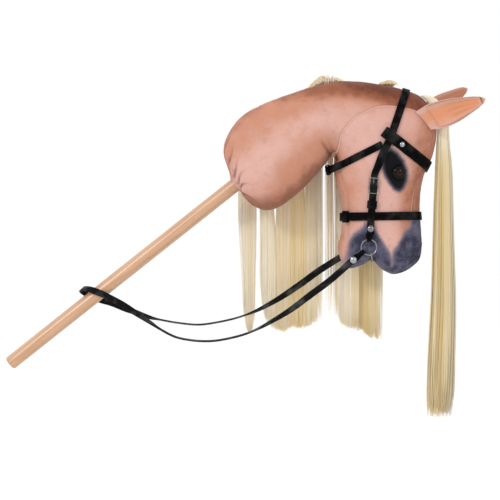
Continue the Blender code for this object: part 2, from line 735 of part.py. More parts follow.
def in_frame(frame, rows):
    """World points of rows of local (along, out)."""
    return np.array([frame @ Vector((0, y, z)) for y, z in rows])


def ring_side():
    """The Y of the near ring's plane: outside the head by the strap's inner ply and its clearances."""
    x, z = RING_CENTRE_MM[0] * MM, RING_CENTRE_MM[1] * MM
    around = [(x + RING_RADIUS * math.cos(a), z + RING_RADIUS * math.sin(a)) for a in np.linspace(0, math.tau, 24)]
    spots = [*around, *[(x + dx, z + dz) for dx in (-5 * MM, 9 * MM) for dz in (18 * MM, 33 * MM, 42 * MM)]]
    found = [SKIN.ray_cast(Vector((px, -FAR_AWAY, pz)), Vector((0, 1, 0)))[0] for px, pz in spots]
    widest = min(point.y for point in found if point)
    return widest - GAP - RIVET_BACK - GAP - STRAP_THICKNESS - RING_PLAY - RING_WIRE / 2


LOW = GAP + STRAP_THICKNESS / 2
STEP = STRAP_THICKNESS + GAP
BAR_OUT = 2.9 * MM
PLY_OUT = RING_WIRE / 2 + RING_PLAY + STRAP_THICKNESS / 2


def make_headpiece():
    """Over the poll and down both cheeks, each tail through its buckle and keeper."""
    angles = np.radians(np.linspace(0, -90, 14))
    lifts = np.interp(-angles, np.radians((0, 42, 64)), (LOW + GAP, LOW + GAP, LOW + STEP + GAP))
    top, top_ups = round_from(HEADPIECE_SIDE_MM, HEADPIECE_TOP_MM, angles, lifts)
    side, side_ups = lay_on_side(HEADPIECE_TAIL_MM, [LOW + STEP + GAP, LOW + STEP, LOW + STEP])
    frame = run_frame()
    at, low = BUCKLE_AT, LOW + STEP
    bar_top = BAR_OUT + BUCKLE_WIRE / 2 + 0.25 * MM + TURN_THICKNESS + GAP + STRAP_THICKNESS / 2
    rows = (
        (at + 20 * MM, low), (at + 13.5 * MM, low), (at + 8 * MM, low + 1.1 * MM), (at + 3 * MM, bar_top - 0.2 * MM),
        (at, bar_top), (at - 3 * MM, bar_top), (at - 8 * MM, low + 1.3 * MM), (at - 13.6 * MM, low + 0.1 * MM),
        (at - 16 * MM, low + 1.1 * MM), (at - 19.5 * MM, low + STEP + 1.4 * GAP), (TAIL_END, low + STEP + 1.4 * GAP),
    )
    run = in_frame(frame, rows)
    run_ups = np.tile(np.array(frame.to_3x3() @ Vector((0, 0, 1))), (len(run), 1))
    points = np.vstack([top, side, run])
    ups = np.vstack([top_ups, side_ups, run_ups])
    cheek = int(np.argmax(points[:, 2] < run[0, 2] + 1 * MM))
    upper, upper_ups = resample(points[:cheek], ups[:cheek], STATION)
    lower, lower_ups = resample(points[cheek:], ups[cheek:], 3.2 * MM)
    points, ups = np.vstack([upper, lower]), np.vstack([upper_ups, lower_ups])
    width = np.interp(points[:, 2], (0.125, 0.15), (HEADPIECE_TAIL_WIDTH, HEADPIECE_WIDTH))
    points, ups = both_halves(points, ups)
    width = np.concatenate([width[:0:-1], width])
    piece = strap("headpiece", points, ups, width)
    for side_name, mirror in (("near", 1), ("far", -1)):
        slot = tongue_slot(f"headpiece_slot_{side_name}", frame, 9 * MM, BAR_OUT + 0.6 * MM, mirror)
        boolean(piece, slot)
    return piece


def tongue_slot(name, frame, reach, low, mirror=1):
    """A cutter for the slot that the tongue swings in."""
    half = TONGUE_SLOT / 2
    back = BUCKLE_WIRE / 2 + TONGUE_WIRE + 0.5 * MM
    slot = block(name, (-half, BUCKLE_AT - back, low), (half, BUCKLE_AT + reach, 9 * MM))
    slot.data.transform(frame)
    if mirror < 0:
        slot.data.transform(Matrix.Diagonal((1, -1, 1, 1)))
        slot.data.flip_normals()
    return slot


def make_cheekpiece():
    """From its turn round the buckle's middle bar, down over the noseband, round the bit ring and back up."""
    frame = run_frame()
    at = BUCKLE_AT
    radius = BUCKLE_WIRE / 2 + 0.25 * MM + TURN_THICKNESS / 2
    turn = [math.radians(a) for a in (100, 70, 40, 10, -20, -50, -80)]
    rows = [
        (at - 8.5 * MM, LOW + STRAP_THICKNESS / 2 + GAP + TURN_THICKNESS / 2 + 0.15 * MM),
        (at - 5.5 * MM, BAR_OUT + 0.3 * MM),
        (at - 2.6 * MM, BAR_OUT + radius * 0.93),
        *[(at + radius * math.cos(a), BAR_OUT + radius * math.sin(a)) for a in turn],
        (at - 3 * MM, LOW + 0.2 * MM), (at - 6 * MM, LOW), (at - 14 * MM, LOW), (at - 16 * MM, LOW + 0.4 * MM),
        (at - 19.5 * MM, LOW + STEP + GAP), (-8 * MM, LOW + STEP + GAP), (-16 * MM, LOW + STEP + GAP),
        (TAIL_END, LOW + STEP + GAP),
    ]
    run = in_frame(frame, rows)
    run_across = np.tile(np.array(frame.to_3x3() @ Vector((1, 0, 0))), (len(run), 1))
    down, down_ups = lay_on_side(CHEEK_STRAP_DOWN_MM, [LOW + STEP + 2 * GAP, LOW + STEP + 2 * GAP])
    down_across = unit(np.cross((RUN_SLOPE[0], 0, RUN_SLOPE[1]), down_ups))
    rivet_x, rivet_z = CHEEK_RIVET_MM[0] * MM, CHEEK_RIVET_MM[1] * MM
    plane = ring_side()
    front = [(rivet_x, plane - PLY_OUT, z) for z in (rivet_z + 6 * MM, rivet_z, rivet_z - 6 * MM)]
    back = [(rivet_x, plane + PLY_OUT, z) for z in (rivet_z - 6 * MM, rivet_z, rivet_z + 6 * MM)]
    fold = ring_fold(math.radians(88), -1, 20 * MM)[0]
    lower = np.vstack([front, fold, back])
    lower_across = np.tile((1.0, 0, 0), (len(lower), 1))
    points = np.vstack([run, down, lower])
    across = np.vstack([run_across, down_across, lower_across])
    thickness = np.full(len(points), STRAP_THICKNESS)
    thickness[:10] = TURN_THICKNESS
    thickness[10] = (TURN_THICKNESS + STRAP_THICKNESS) / 2
    width = np.full(len(points), CHEEKPIECE_WIDTH)
    width[-len(fold) - 2 : -4] = RING_LOOP_WIDTH
    tangent = unit(np.gradient(points, axis=0))
    near = strap("cheekpiece_near", points, np.cross(across, tangent), width, thickness)
    boolean(near, tongue_slot("cheekpiece_slot", frame, BUCKLE_WIRE / 2 + TONGUE_WIRE + 0.5 * MM, -1 * MM))
    boolean(near, rivet_hole("cheek_rivet_hole", cheek_rivet_place()))
    far_twin(near, "cheekpiece_far", "strap")
    return near


def ring_fold(angle, side, reach):
    """A strap's way out to the ring at an angle from its centre, round the wire and back: front ply first."""
    direction = np.array([math.cos(angle), 0, math.sin(angle)])
    centre = np.array([RING_CENTRE_MM[0] * MM, side * -ring_side(), RING_CENTRE_MM[1] * MM])
    slack = RING_RADIUS - math.sqrt(RING_RADIUS**2 - (RING_LOOP_WIDTH / 2) ** 2)
    distance = RING_RADIUS - slack
    outward = np.array([0, side, 0.0])
    turns = np.radians(np.linspace(90, -90, 7))
    steps = [(reach, 1.0), *[(distance - PLY_OUT * math.cos(a), math.sin(a)) for a in turns], (reach, -1.0)]
    points = [centre + direction * d + outward * PLY_OUT * w for d, w in steps]
    return np.array(points), np.tile(outward, (len(points), 1))


def rivet_hole(name, place):
    radius = RIVET_SHANK / 2 + GAP
    return turned(name, [(0, 0.012), (radius, 0.012), (radius, -0.006), (0, -0.006)], None, place, 12, CUTTERS)


def rivet(name, place, back, front, diameter):
    """A domed head on a shank, closed by a flat head behind the leather."""
    head, shank = diameter / 2, RIVET_SHANK / 2
    height = 0.22 * diameter
    dome = [(head * math.sin(a), front + height * math.cos(a)) for a in np.radians((0, 30, 60, 90))]
    foot = head * 0.7
    profile = [*dome, (shank, front), (shank, back), (foot, back), (foot, back - RIVET_BACK), (0, back - RIVET_BACK)]
    return turned(name, profile, "steel", place, 12)


def cheek_rivet_place():
    return frame_on(Vector((CHEEK_RIVET_MM[0] * MM, ring_side(), CHEEK_RIVET_MM[1] * MM)), (0, -1, 0), (0, 0, 1))


def make_cheek_rivets():
    out = PLY_OUT + STRAP_THICKNESS / 2 + GAP / 2
    near = rivet("cheek_rivet_near", cheek_rivet_place(), -out, out, CHEEK_RIVET_DIAMETER)
    far_twin(near, "cheek_rivet_far", "steel")


def make_buckle():
    """A bowed double buckle with a wire tongue on its middle bar."""
    frame = run_frame()
    wide, tall, corner = BUCKLE_HALF_WIDTH, BUCKLE_HALF_LENGTH, BUCKLE_CORNER
    end_out = LOW + STEP + STRAP_THICKNESS / 2 + GAP + BUCKLE_WIRE / 2 + 0.5 * MM
    quarter = [
        *[(wide, y) for y in np.linspace(0, tall - corner, 4)],
        *[(wide - corner + corner * math.cos(a), tall - corner + corner * math.sin(a)) for a in np.radians((30, 60, 90))],
    ]
    half = [*quarter, *[(-x, y) for x, y in quarter[::-1]]]
    outline = [*half, *[(-x, -y) for x, y in half[1:-1]]]
    points = [
        (x, BUCKLE_AT + y, BAR_OUT + (end_out - BAR_OUT) * (abs(y) / tall) ** 1.5) for x, y in outline
    ]
    buckle = wire("buckle_near", points, BUCKLE_WIRE, "steel", frame, cyclic=True)
    ends = [(-wide, BUCKLE_AT, BAR_OUT), (wide, BUCKLE_AT, BAR_OUT)]
    bar = wire("buckle_bar", ends, BUCKLE_WIRE * 0.96, None, frame, collection=CUTTERS)
    boolean(buckle, bar, "UNION")
    far_twin(buckle, "buckle_far", "steel")
    loop = BUCKLE_WIRE / 2 + 0.2 * MM + TONGUE_WIRE / 2
    turns = np.radians(np.linspace(345, 90, 10))
    tip_out = end_out + BUCKLE_WIRE / 2 + TONGUE_WIRE / 2 + 0.15 * MM - BAR_OUT
    path = [(0, loop * math.cos(a), loop * math.sin(a)) for a in turns]
    path += [(0, tall * 0.5, loop + (tip_out - loop) * 0.5), (0, tall + 1.5 * MM, tip_out + 0.1 * MM)]
    pivot = frame @ Matrix.Translation((0, BUCKLE_AT, BAR_OUT))
    tongue = wire("buckle_tongue_near", path, TONGUE_WIRE, "steel", pivot)
    far_twin(tongue, "buckle_tongue_far", "steel")


def sleeve(name, place, inner_width, inner_height, length, wall):
    """A rectangular loop of leather whose hole runs along local Y, its back wall on local Z = 0."""
    outer = block(name + "_outer", (-inner_width / 2 - wall, -length / 2, 0), (inner_width / 2 + wall, length / 2, inner_height + 2 * wall))
    inner = block(name + "_hole", (-inner_width / 2, -length, wall), (inner_width / 2, length, wall + inner_height))
    mesh = outer.data.copy()
    bpy.data.objects.remove(outer)
    mesh.name = name
    loop = new_object(name, mesh, "strap")
    loop.matrix_world = place
    inner.matrix_world = place
    edges = loop.modifiers.new("edges", "BEVEL")
    edges.width = 0.5 * MM
    edges.segments = 1
    boolean(loop, inner)
    return loop


def make_keepers():
    """Sliding keepers that hold the headpiece's tails down on the cheekpieces."""
    frame = run_frame()
    inner_width = max(CHEEKPIECE_WIDTH, HEADPIECE_TAIL_WIDTH) + 2 * KEEPER_CLEARANCE
    base = LOW + STEP + GAP - STRAP_THICKNESS / 2 - KEEPER_CLEARANCE - KEEPER_WALL
    height = 2 * STRAP_THICKNESS + 2 * KEEPER_CLEARANCE + 2 * GAP
    place = frame @ Matrix.Translation((0, KEEPER_AT, base))
    near = sleeve("cheek_keeper_near", place, inner_width, height, KEEPER_LENGTH, KEEPER_WALL)
    far_twin(near, "cheek_keeper_far", "strap")


def make_browband():
    """Across the forehead, each end turned round the headpiece and riveted back on itself."""
    angles = np.radians(np.linspace(0, -90, 12))
    on_rivet = LOW + RIVET_BACK + 1.6 * GAP
    above_rivet = on_rivet + STEP + GAP
    lifts = np.interp(-angles, np.radians((0, 30, 50, 90)), (LOW + 4 * GAP, LOW + 3 * GAP, LOW + GAP, above_rivet - 1.2 * MM))
    front, front_ups = round_from(BROWBAND_SIDE_MM, BROWBAND_FRONT_MM, angles, lifts)
    over, under = LOW + 2 * STEP + 4 * GAP, LOW
    way = unit(np.subtract(BROWBAND_LOOP_MM[-1], BROWBAND_LOOP_MM[-2]))
    end = np.array(BROWBAND_LOOP_MM[-1]) + way * 9.5
    turns = np.radians(np.linspace(80, -80, 5))
    radius = (over - under) / 2
    path = [
        *BROWBAND_LOOP_MM, *[tuple(end + way * radius / MM * math.cos(a)) for a in turns],
        *BROWBAND_LOOP_MM[::-1], BROWBAND_END_MM,
    ]
    heights = [
        above_rivet, over, over, *[(over + under) / 2 + radius * math.sin(a) for a in turns],
        under, under, on_rivet, on_rivet,
    ]
    loop, loop_ups = lay_on_side(path, heights)
    loop_across = unit(np.cross((-way[0], 0, -way[1]), loop_ups))
    front_across = unit(np.cross(-unit(np.gradient(front, axis=0)), front_ups))
    points = np.vstack([front, loop])
    across = np.vstack([front_across, loop_across])
    ups = np.cross(across, unit(np.gradient(points, axis=0)))
    points, ups = both_halves(points, ups)
    band = strap("browband", points, ups, BROWBAND_WIDTH)
    place = brow_rivet_place()
    boolean(band, rivet_hole("brow_rivet_hole", place))
    boolean(band, rivet_hole("brow_rivet_hole_far", mirrored_place(place)))
    near = rivet(
        "browband_rivet_near", place, GAP + RIVET_BACK, above_rivet + STRAP_THICKNESS / 2 + 3 * GAP, BROW_RIVET_DIAMETER
    )
    far_twin(near, "browband_rivet_far", "steel")
    return band


def brow_rivet_place():
    point, normal = on_side(BROWBAND_LOOP_MM[0][0] * MM, BROWBAND_LOOP_MM[0][1] * MM)
    return frame_on(point, normal, (0, 0, 1))


def mirrored_place(place):
    """A frame at the mirrored point, facing the mirrored way."""
    out = place.to_3x3() @ Vector((0, 0, 1))
    along = place.to_3x3() @ Vector((0, 1, 0))
    flip = Vector((1, -1, 1))
    return frame_on(place.translation * flip, out * flip, along * flip)


def make_throatlatch():
    angles = np.linspace(-THROAT_SIDE_ANGLE, THROAT_SIDE_ANGLE, 45)
    lifts = LOW + THROAT_SLACK * np.exp(-((angles / math.radians(52)) ** 4))
    points, ups = round_from(THROAT_CENTRE_MM, THROAT_END_MM, angles, lifts)
    points, ups = resample(points, ups, STATION)
    strap("throatlatch", points, ups, THROATLATCH_WIDTH)
    at = int(np.argmin(abs(points[:, 1] - THROAT_KEEPER_Y)))
    loop_keeper("throatlatch_keeper", points[at], ups[at], points[at + 1] - points[at - 1], THROATLATCH_WIDTH + 2 * MM)


def make_noseband():
    angles = np.linspace(0, math.tau, 49)[:-1]
    behind = np.exp(-(((angles - NOSEBAND_KEEPER_AT) / math.radians(26)) ** 4))
    lifts = LOW + 2 * GAP + (KEEPER_WALL + 2 * KEEPER_CLEARANCE) * behind
    points, ups = round_from(NOSEBAND_CENTRE_MM, NOSEBAND_FRONT_MM, angles, lifts)
    strap("noseband", points, ups, NOSEBAND_WIDTH, closed=True)
    at = int(np.argmin(abs(angles - NOSEBAND_KEEPER_AT)))
    along = points[at + 1] - points[at - 1]
    loop_keeper("noseband_keeper", points[at], ups[at], along, NOSEBAND_WIDTH + 3 * MM)


def loop_keeper(name, point, up, along, inner_width):
    """A leather loop round a strap at one point of it."""
    height = STRAP_THICKNESS + 4 * KEEPER_CLEARANCE
    place = frame_on(Vector(point), up, along) @ Matrix.Translation((0, 0, -height / 2 - KEEPER_WALL))
    sleeve(name, place, inner_width, height, LOOP_LENGTH, KEEPER_WALL)


def make_bit():
    """Loose rings that turn in the bridle's loops, and a mouth bar whose ends are eyes round them."""
    y = ring_side()
    x, z = RING_CENTRE_MM[0] * MM, RING_CENTRE_MM[1] * MM
    turns = np.arange(28) * math.tau / 28
    circle = [(RING_RADIUS * math.cos(a), 0, RING_RADIUS * math.sin(a)) for a in turns]
    ring = wire("bit_ring_near", circle, RING_WIRE, "steel", Matrix.Translation((x, y, z)), cyclic=True)
    far_twin(ring, "bit_ring_far", "steel")
    bar = np.array(MOUTH_BAR_MM) * MM
    towards = unit(bar - np.array([x, z]))
    hold = np.array([x, z]) + towards * RING_RADIUS
    eye = RING_WIRE / 2 + RING_PLAY + BIT_WIRE / 2
    way = np.array([towards[0], 0, towards[1]])
    out = np.array([0, -1, 0])
    centre = np.array([hold[0], y, hold[1]])
    loop = [centre + eye * (way * math.cos(a) + out * math.sin(a)) for a in np.radians(np.linspace(-38, -322, 12))]
    elbow = np.array([bar[0], y + 9 * MM, bar[1]])
    near = [*loop, centre + way * (eye + 3.5 * MM) + out * -1.5 * MM, elbow]
    path = np.vstack([near, (np.array(near) * (1, -1, 1))[::-1]])
    rod = wire("bit_mouthpiece", path, BIT_WIRE, "steel")
    reach = -y - 12 * MM
    radius = MOUTH_BAR_DIAMETER / 2
    profile = [(0, reach), (radius * 0.75, reach), (radius, reach * 0.6), (radius, -reach * 0.6), (radius * 0.75, -reach), (0, -reach)]
    place = Matrix.Translation((bar[0], 0, bar[1])) @ Matrix.Rotation(math.radians(90), 4, "X")
    boolean(rod, turned("mouth_bar", profile, None, place, 14, CUTTERS), "UNION")


def rein_place(side, angle, distance):
    """A frame on the rein's rivet or fold: local Z faces away from the head."""
    centre = np.array([RING_CENTRE_MM[0] * MM, side * -ring_side(), RING_CENTRE_MM[1] * MM])
    point = centre + np.array([math.cos(angle), 0, math.sin(angle)]) * distance
    return frame_on(Vector(point), (0, side, 0), (math.cos(angle), 0, math.sin(angle)))


def make_reins():
    """One long strap from ring to ring, looped round the stick, riveted into a folded end at each ring."""
    ends = (("near", -1, REIN_END_NEAR), ("far", 1, REIN_END_FAR))
    holes = []
    for name, side, angle in ends:
        fold, outward = ring_fold(angle, side, REIN_RIVET_AT + 6 * MM)
        extra = [fold[0] * (1 - t) + fold[1] * t for t in (0.25, 0.5, 0.75)]
        back = [fold[-2] * (1 - t) + fold[-1] * t for t in (0.25, 0.5, 0.75)]
        points = np.vstack([fold[:1], extra, fold[1:-1], back, fold[-1:]])
        tangent = unit(np.gradient(points, axis=0))
        across = np.cross((0, side, 0), (math.cos(angle), 0, math.sin(angle)))
        width = np.full(len(points), REIN_WIDTH)
        width[3:-3] = RING_LOOP_WIDTH
        end = strap(f"rein_end_{name}", points, np.cross(across, tangent), width)
        place = rein_place(side, angle, REIN_RIVET_AT)
        hole = rivet_hole(f"rein_rivet_hole_{name}", place)
        holes.append(hole)
        boolean(end, hole)
        out = PLY_OUT + STRAP_THICKNESS / 2
        rivet(f"rein_rivet_{name}", place, -out - GAP, out + GAP, REIN_RIVET_DIAMETER)
    rows = np.array(REIN_PATH, float)
    starts = [
        [(*(rein_place(side, angle, REIN_RIVET_AT + beyond).translation / MM), 0) for beyond in (-5 * MM, 2 * MM, 9 * MM)]
        for _, side, angle in ends
    ]
    rows = np.vstack([starts[0], rows, starts[1][::-1]])
    fine = through(rows, 6)
    fine[:, :3] *= MM
    tangent = unit(np.gradient(fine[:, :3], axis=0))
    twist = np.radians(fine[:, 3])[:, None]
    axis = stick_axis()
    from_stick = fine[:, :3] - axis * (fine[:, :3] @ axis)[:, None]
    near_stick = np.clip((-0.05 - fine[:, 0]) / 0.04, 0, 1)[:, None]
    sideways = np.column_stack([np.zeros(len(fine)), np.where(np.arange(len(fine)) < len(fine) / 2, -1, 1), np.zeros(len(fine))])
    sideways = unit(sideways * (1 - near_stick) + unit(from_stick) * near_stick)
    upward = np.cross(tangent, sideways)
    upward = upward * np.sign(upward[:, 2:3] + 1e-9)
    ups = sideways * np.cos(twist) + upward * np.sin(twist)
    points, ups = resample(fine[:, :3], ups, 16.5 * MM)
    reins = strap("reins", points, ups, REIN_WIDTH, REIN_THICKNESS)
    for hole in holes:
        boolean(reins, hole)


clear_scene()
make_stick()
COVER = make_cover()
FILLING = make_filling()
make_eyes(COVER, FILLING)
make_ears()
make_mane()
make_forelock()
make_headpiece()
make_cheekpiece()
make_buckle()
make_cheek_rivets()
make_keepers()
make_browband()
make_throatlatch()
make_noseband()
make_bit()
make_reins()
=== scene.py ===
import math

import bpy
import numpy as np
from mathutils import Matrix, Vector
from mathutils.bvhtree import BVHTree


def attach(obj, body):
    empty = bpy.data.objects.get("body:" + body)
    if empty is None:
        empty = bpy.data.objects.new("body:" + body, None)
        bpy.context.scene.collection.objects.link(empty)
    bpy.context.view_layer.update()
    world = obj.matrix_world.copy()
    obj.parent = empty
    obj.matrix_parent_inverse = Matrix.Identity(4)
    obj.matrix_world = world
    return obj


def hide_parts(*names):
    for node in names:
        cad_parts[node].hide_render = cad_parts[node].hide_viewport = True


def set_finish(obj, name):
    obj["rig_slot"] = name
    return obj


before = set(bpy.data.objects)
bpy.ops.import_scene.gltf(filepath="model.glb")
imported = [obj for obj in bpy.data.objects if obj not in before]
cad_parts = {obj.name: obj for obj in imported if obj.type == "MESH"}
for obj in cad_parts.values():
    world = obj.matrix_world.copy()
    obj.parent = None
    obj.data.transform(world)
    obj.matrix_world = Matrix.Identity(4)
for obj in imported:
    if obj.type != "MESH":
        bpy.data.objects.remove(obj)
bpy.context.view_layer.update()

# Sewn and stuffed head and neck
# Two neck panels, two cheek panels and a long gusset of short-pile chestnut cloth, sewn inside out, turned,
# stuffed hard and gathered round the stick. The muzzle is airbrushed grey and the eye patches black.

MM = 0.001
STICK_RISE = math.radians(38.44)
# The way that the stick runs, and the way square to it in the side view
WAY = np.array([math.cos(STICK_RISE), 0, math.sin(STICK_RISE)])
RISE = np.array([-WAY[2], 0, WAY[0]])
HOLE_AT = 172.5 * MM
HOLE_RADIUS = 13.2 * MM
BORE_RADIUS = 12.9 * MM
STICK_TOP = 369 * MM
# Rows of crest x, z, underside x, z and half width, from the neck's base to the mouth
FORM_MM = (
    (113, 170, 155, 78, 44), (128, 211, 184, 61, 60), (162, 242, 212, 65, 65), (216, 266, 247, 89, 65),
    (272, 284, 278, 120, 61), (322, 295, 299, 144, 56), (373, 293, 308, 151, 53), (430, 282, 311, 138, 53),
    (475, 263, 317, 109, 55), (498, 220, 325, 79, 55), (493, 165, 327, 46, 52), (474, 120, 325, 21, 48),
    (468, 75, 320, 1, 44), (470, 37, 321, -14, 42), (472, 3, 324, -25, 41),
)
FULLNESS = 0.9
# Depth of chin and muzzle below the last row, by the share of the way from the chin to the nose
MOUTH_DEPTH_MM = (
    (0.0, 0), (0.04, 14), (0.09, 20.5), (0.16, 21), (0.26, 18.4), (0.34, 13.5), (0.371, 10.5),
    (0.41, 20), (0.46, 32), (0.53, 41), (0.60, 46), (0.72, 45), (0.84, 38), (0.94, 26), (1.0, 0),
)
CHEEK_SEAM_MM = (
    (306, 128), (308, 151), (319, 170), (326, 197), (340, 217), (353, 229), (375, 240), (390, 246),
    (414, 248), (446, 243), (470, 237), (520, 236),
)
GUSSET_HALF = 26 * MM
EYE_MM = (427, 128)


def unit(rows):
    """Rows of vectors, each divided by its own length."""
    rows = np.asarray(rows, float)
    return rows / np.maximum(np.linalg.norm(rows, axis=-1, keepdims=True), 1e-12)


def through(rows, per_span):
    """A smooth curve through the rows: each span is the Catmull-Rom cubic of the four rows round it."""
    rows = np.asarray(rows, float)
    ends = np.concatenate([2 * rows[:1] - rows[1:2], rows, 2 * rows[-1:] - rows[-2:-1]])
    a, b, c, d = (ends[k : len(ends) - 3 + k, None] for k in range(4))
    t = (np.arange(per_span) / per_span).reshape(1, -1, *[1] * (rows.ndim - 1))
    spans = 0.5 * (2 * b + (c - a) * t + (2 * a - 5 * b + 4 * c - d) * t**2 + (3 * b - a - 3 * c + d) * t**3)
    return np.concatenate([spans.reshape(-1, *rows.shape[1:]), rows[-1:]])


def quads(rows, columns, wrap_rows=False, wrap_columns=False):
    """Corner numbers of the faces between neighbouring rows and columns, the last joined to the first if wrapped."""
    i = np.arange(rows if wrap_rows else rows - 1)[:, None]
    j = np.arange(columns if wrap_columns else columns - 1)[None, :]
    here, there, beside = i * columns, (i + 1) % rows * columns, (j + 1) % columns
    return np.stack([here + j, here + beside, there + beside, there + j], axis=-1).reshape(-1, 4)


def piece(name, points, faces, material, slot, body="horse", replaces=(), marks=None, sharp=None):
    """A mesh from points and arrays of faces, turned to enclose a positive volume, with an attribute for each mark."""
    points = np.asarray(points, float).reshape(-1, 3)
    faces = [np.asarray(group, int) for group in faces]
    fans = [np.stack([g[:, [0] * (g.shape[1] - 2)], g[:, 1:-1], g[:, 2:]], -1).reshape(-1, 3) for g in faces]
    a, b, c = (points[np.concatenate(fans)[:, k]] for k in range(3))
    if np.einsum("ij,ij->i", a, np.cross(b, c)).sum() < 0:
        faces = [group[:, ::-1] for group in faces]
    corners = np.concatenate([group.ravel() for group in faces])
    used, corners = np.unique(corners, return_inverse=True)
    sizes = np.concatenate([np.full(len(group), group.shape[1]) for group in faces])
    mesh = bpy.data.meshes.new(name)
    mesh.vertices.add(len(used))
    mesh.vertices.foreach_set("co", points[used].astype(np.float32).ravel())
    mesh.loops.add(len(corners))
    mesh.loops.foreach_set("vertex_index", corners.astype(np.int32))
    mesh.polygons.add(len(sizes))
    mesh.polygons.foreach_set("loop_start", np.concatenate([[0], np.cumsum(sizes)[:-1]]).astype(np.int32))
    mesh.update(calc_edges=True)
    mesh.shade_smooth()
    if sharp:
        mesh.set_sharp_from_angle(angle=math.radians(sharp))
    for mark, values in (marks or {}).items():
        layer = mesh.attributes.new(mark, "FLOAT", "POINT")
        layer.data.foreach_set("value", np.asarray(values, np.float32).ravel()[used])
    mesh.materials.append(material)
    made = bpy.data.objects.new(name, mesh)
    bpy.context.scene.collection.objects.link(made)
    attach(made, body)
    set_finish(made, slot)
    if replaces:
        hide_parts(*replaces)
    return made


def form_rings(per_row, segments, mouth_rings, depth_steps=1):
    """Points of the stuffed form. Each ring runs from crest to underside and back as the cosine of its angle, and
    out to the half width as the sine to the power of the fullness. Below the last row the chin and muzzle close in
    by a quarter turn, down by the depth times the sine and in by the cosine."""
    middle, rise = WAY[[0, 2]] * HOLE_AT, RISE[[0, 2]] * HOLE_RADIUS
    hole = [*(middle + rise), *(middle - rise), HOLE_RADIUS]
    rows = through(np.vstack([hole, np.array(FORM_MM) * MM]), per_row)
    angle = np.arange(segments) * math.tau / segments
    crest, under = rows[:, None, 0:2], rows[:, None, 2:4]
    side_view = (crest + under) / 2 + (crest - under) / 2 * np.cos(angle)[None, :, None]
    across = rows[:, 4:5] * (np.sign(np.sin(angle)) * np.abs(np.sin(angle)) ** FULLNESS)[None, :]
    depths = through(MOUTH_DEPTH_MM, depth_steps)
    depth = np.interp((1 + np.cos(angle)) / 2, depths[:, 0], depths[:, 1] * MM)
    arm = unit(crest[-1, 0] - under[-1, 0])
    turn = (math.tau / 4 * np.arange(1, mouth_rings + 1) / mouth_rings)[:, None]
    lips = side_view[-1] + np.array([arm[1], -arm[0]]) * (depth * np.sin(turn))[..., None]
    side_view = np.concatenate([side_view, lips])
    across = np.concatenate([across, across[-1] * np.where(turn < math.tau / 4 - 1e-6, np.cos(turn), 0)])
    return np.dstack([side_view[..., 0], across, side_view[..., 1]])


def outward(grid):
    """Unit normals of closed rings: the steps along them crossed with those round them, away from their middles."""
    normals = unit(np.cross(np.gradient(grid, axis=0), np.roll(grid, -1, axis=1) - np.roll(grid, 1, axis=1)))
    away = grid - grid.mean(axis=1, keepdims=True)
    return normals * np.sign(np.einsum("ijk,ijk->", normals, away))


def from_line(spots, line):
    """How far each spot of the side view is from a line, how far along it, and on which side, left being positive."""
    start, end = np.asarray(line[:-1]), np.asarray(line[1:])
    step = end - start
    length = np.linalg.norm(step, axis=1)
    offset = spots[..., None, :] - start
    share = np.clip(np.einsum("...ij,ij->...i", offset, step) / length**2, 0, 1)
    miss = offset - share[..., None] * step
    gap = np.linalg.norm(miss, axis=-1)
    best = gap.argmin(axis=-1)
    pick = lambda values: np.take_along_axis(values, best[..., None], -1)[..., 0]
    side = np.sign(pick(step[:, 0] * offset[..., 1] - step[:, 1] * offset[..., 0]))
    along = pick(share * length) + np.concatenate([[0], np.cumsum(length)])[best]
    return pick(gap), along, side


def inside(spots, outline):
    """Distance within a closed outline of the side view, negative outside. A spot is inside if it is crossed oddly."""
    closed = np.vstack([outline, outline[:1]])
    gap = from_line(spots, closed)[0]
    (x0, z0), (x1, z1) = closed[:-1].T, closed[1:].T
    x, z = spots[..., 0:1], spots[..., 1:2]
    crosses = ((z0 > z) != (z1 > z)) & (x < (x1 - x0) * (z - z0) / np.where(z1 == z0, 1, z1 - z0) + x0)
    return np.where(crosses.sum(axis=-1) % 2 == 1, gap, -gap)


def waves(points, size, seed, count=9):
    """Soft unevenness from about -1 to 1: sine waves of that length in random directions, added and evened out."""
    draw = np.random.default_rng(seed)
    ways = unit(draw.normal(size=(count, 3))) / size * draw.uniform(0.7, 1.4, (count, 1)) * math.tau
    return np.sin(points @ ways.T + draw.uniform(0, math.tau, count)).sum(axis=-1) / math.sqrt(count)


def smooth(low, high, values):
    """Rises from 0 at low to 1 at high along a smooth step."""
    share = np.clip((values - low) / (high - low), 0, 1)
    return share * share * (3 - 2 * share)


# Creases and sprayed areas of the head in the side view, in millimetres, and the pleats' angles round the stick
THROAT_CREASES_MM = (
    ((286, 192), (291, 183), (298, 173), (305, 162), (312, 150)),
    ((299, 196), (303, 185), (307, 173), (312, 160), (315, 150)),
)
LIP_CREASE_MM = ((383, -26), (386, -8), (390, 10))
NOSTRIL_MM = (464, -22)
EYE_PATCH_MM = (
    (404, 164), (413, 168), (424, 160), (435, 148), (440, 133), (440, 115), (435, 102), (429, 97), (421, 100),
    (413, 108), (406, 120), (402, 134), (401, 150),
)
GREY_MM = (
    (336, -80), (337, -37), (338, -26), (341, -14), (345, -2), (352, 10), (362, 22), (371, 32), (379, 34), (386, 22),
    (395, 8), (405, -12), (416, -39), (421, -24), (423, -8), (429, 4), (439, 13), (449, 27), (455, 40), (464, 52),
    (512, 54), (512, -80),
)
PLEATS = np.radians((-14, -37, -64, -88, -108, -137, -166, 18, 43, 72, 101, 128, 157))
ROWS_PER_SPAN = 17
STITCH_STEP = 7 * MM
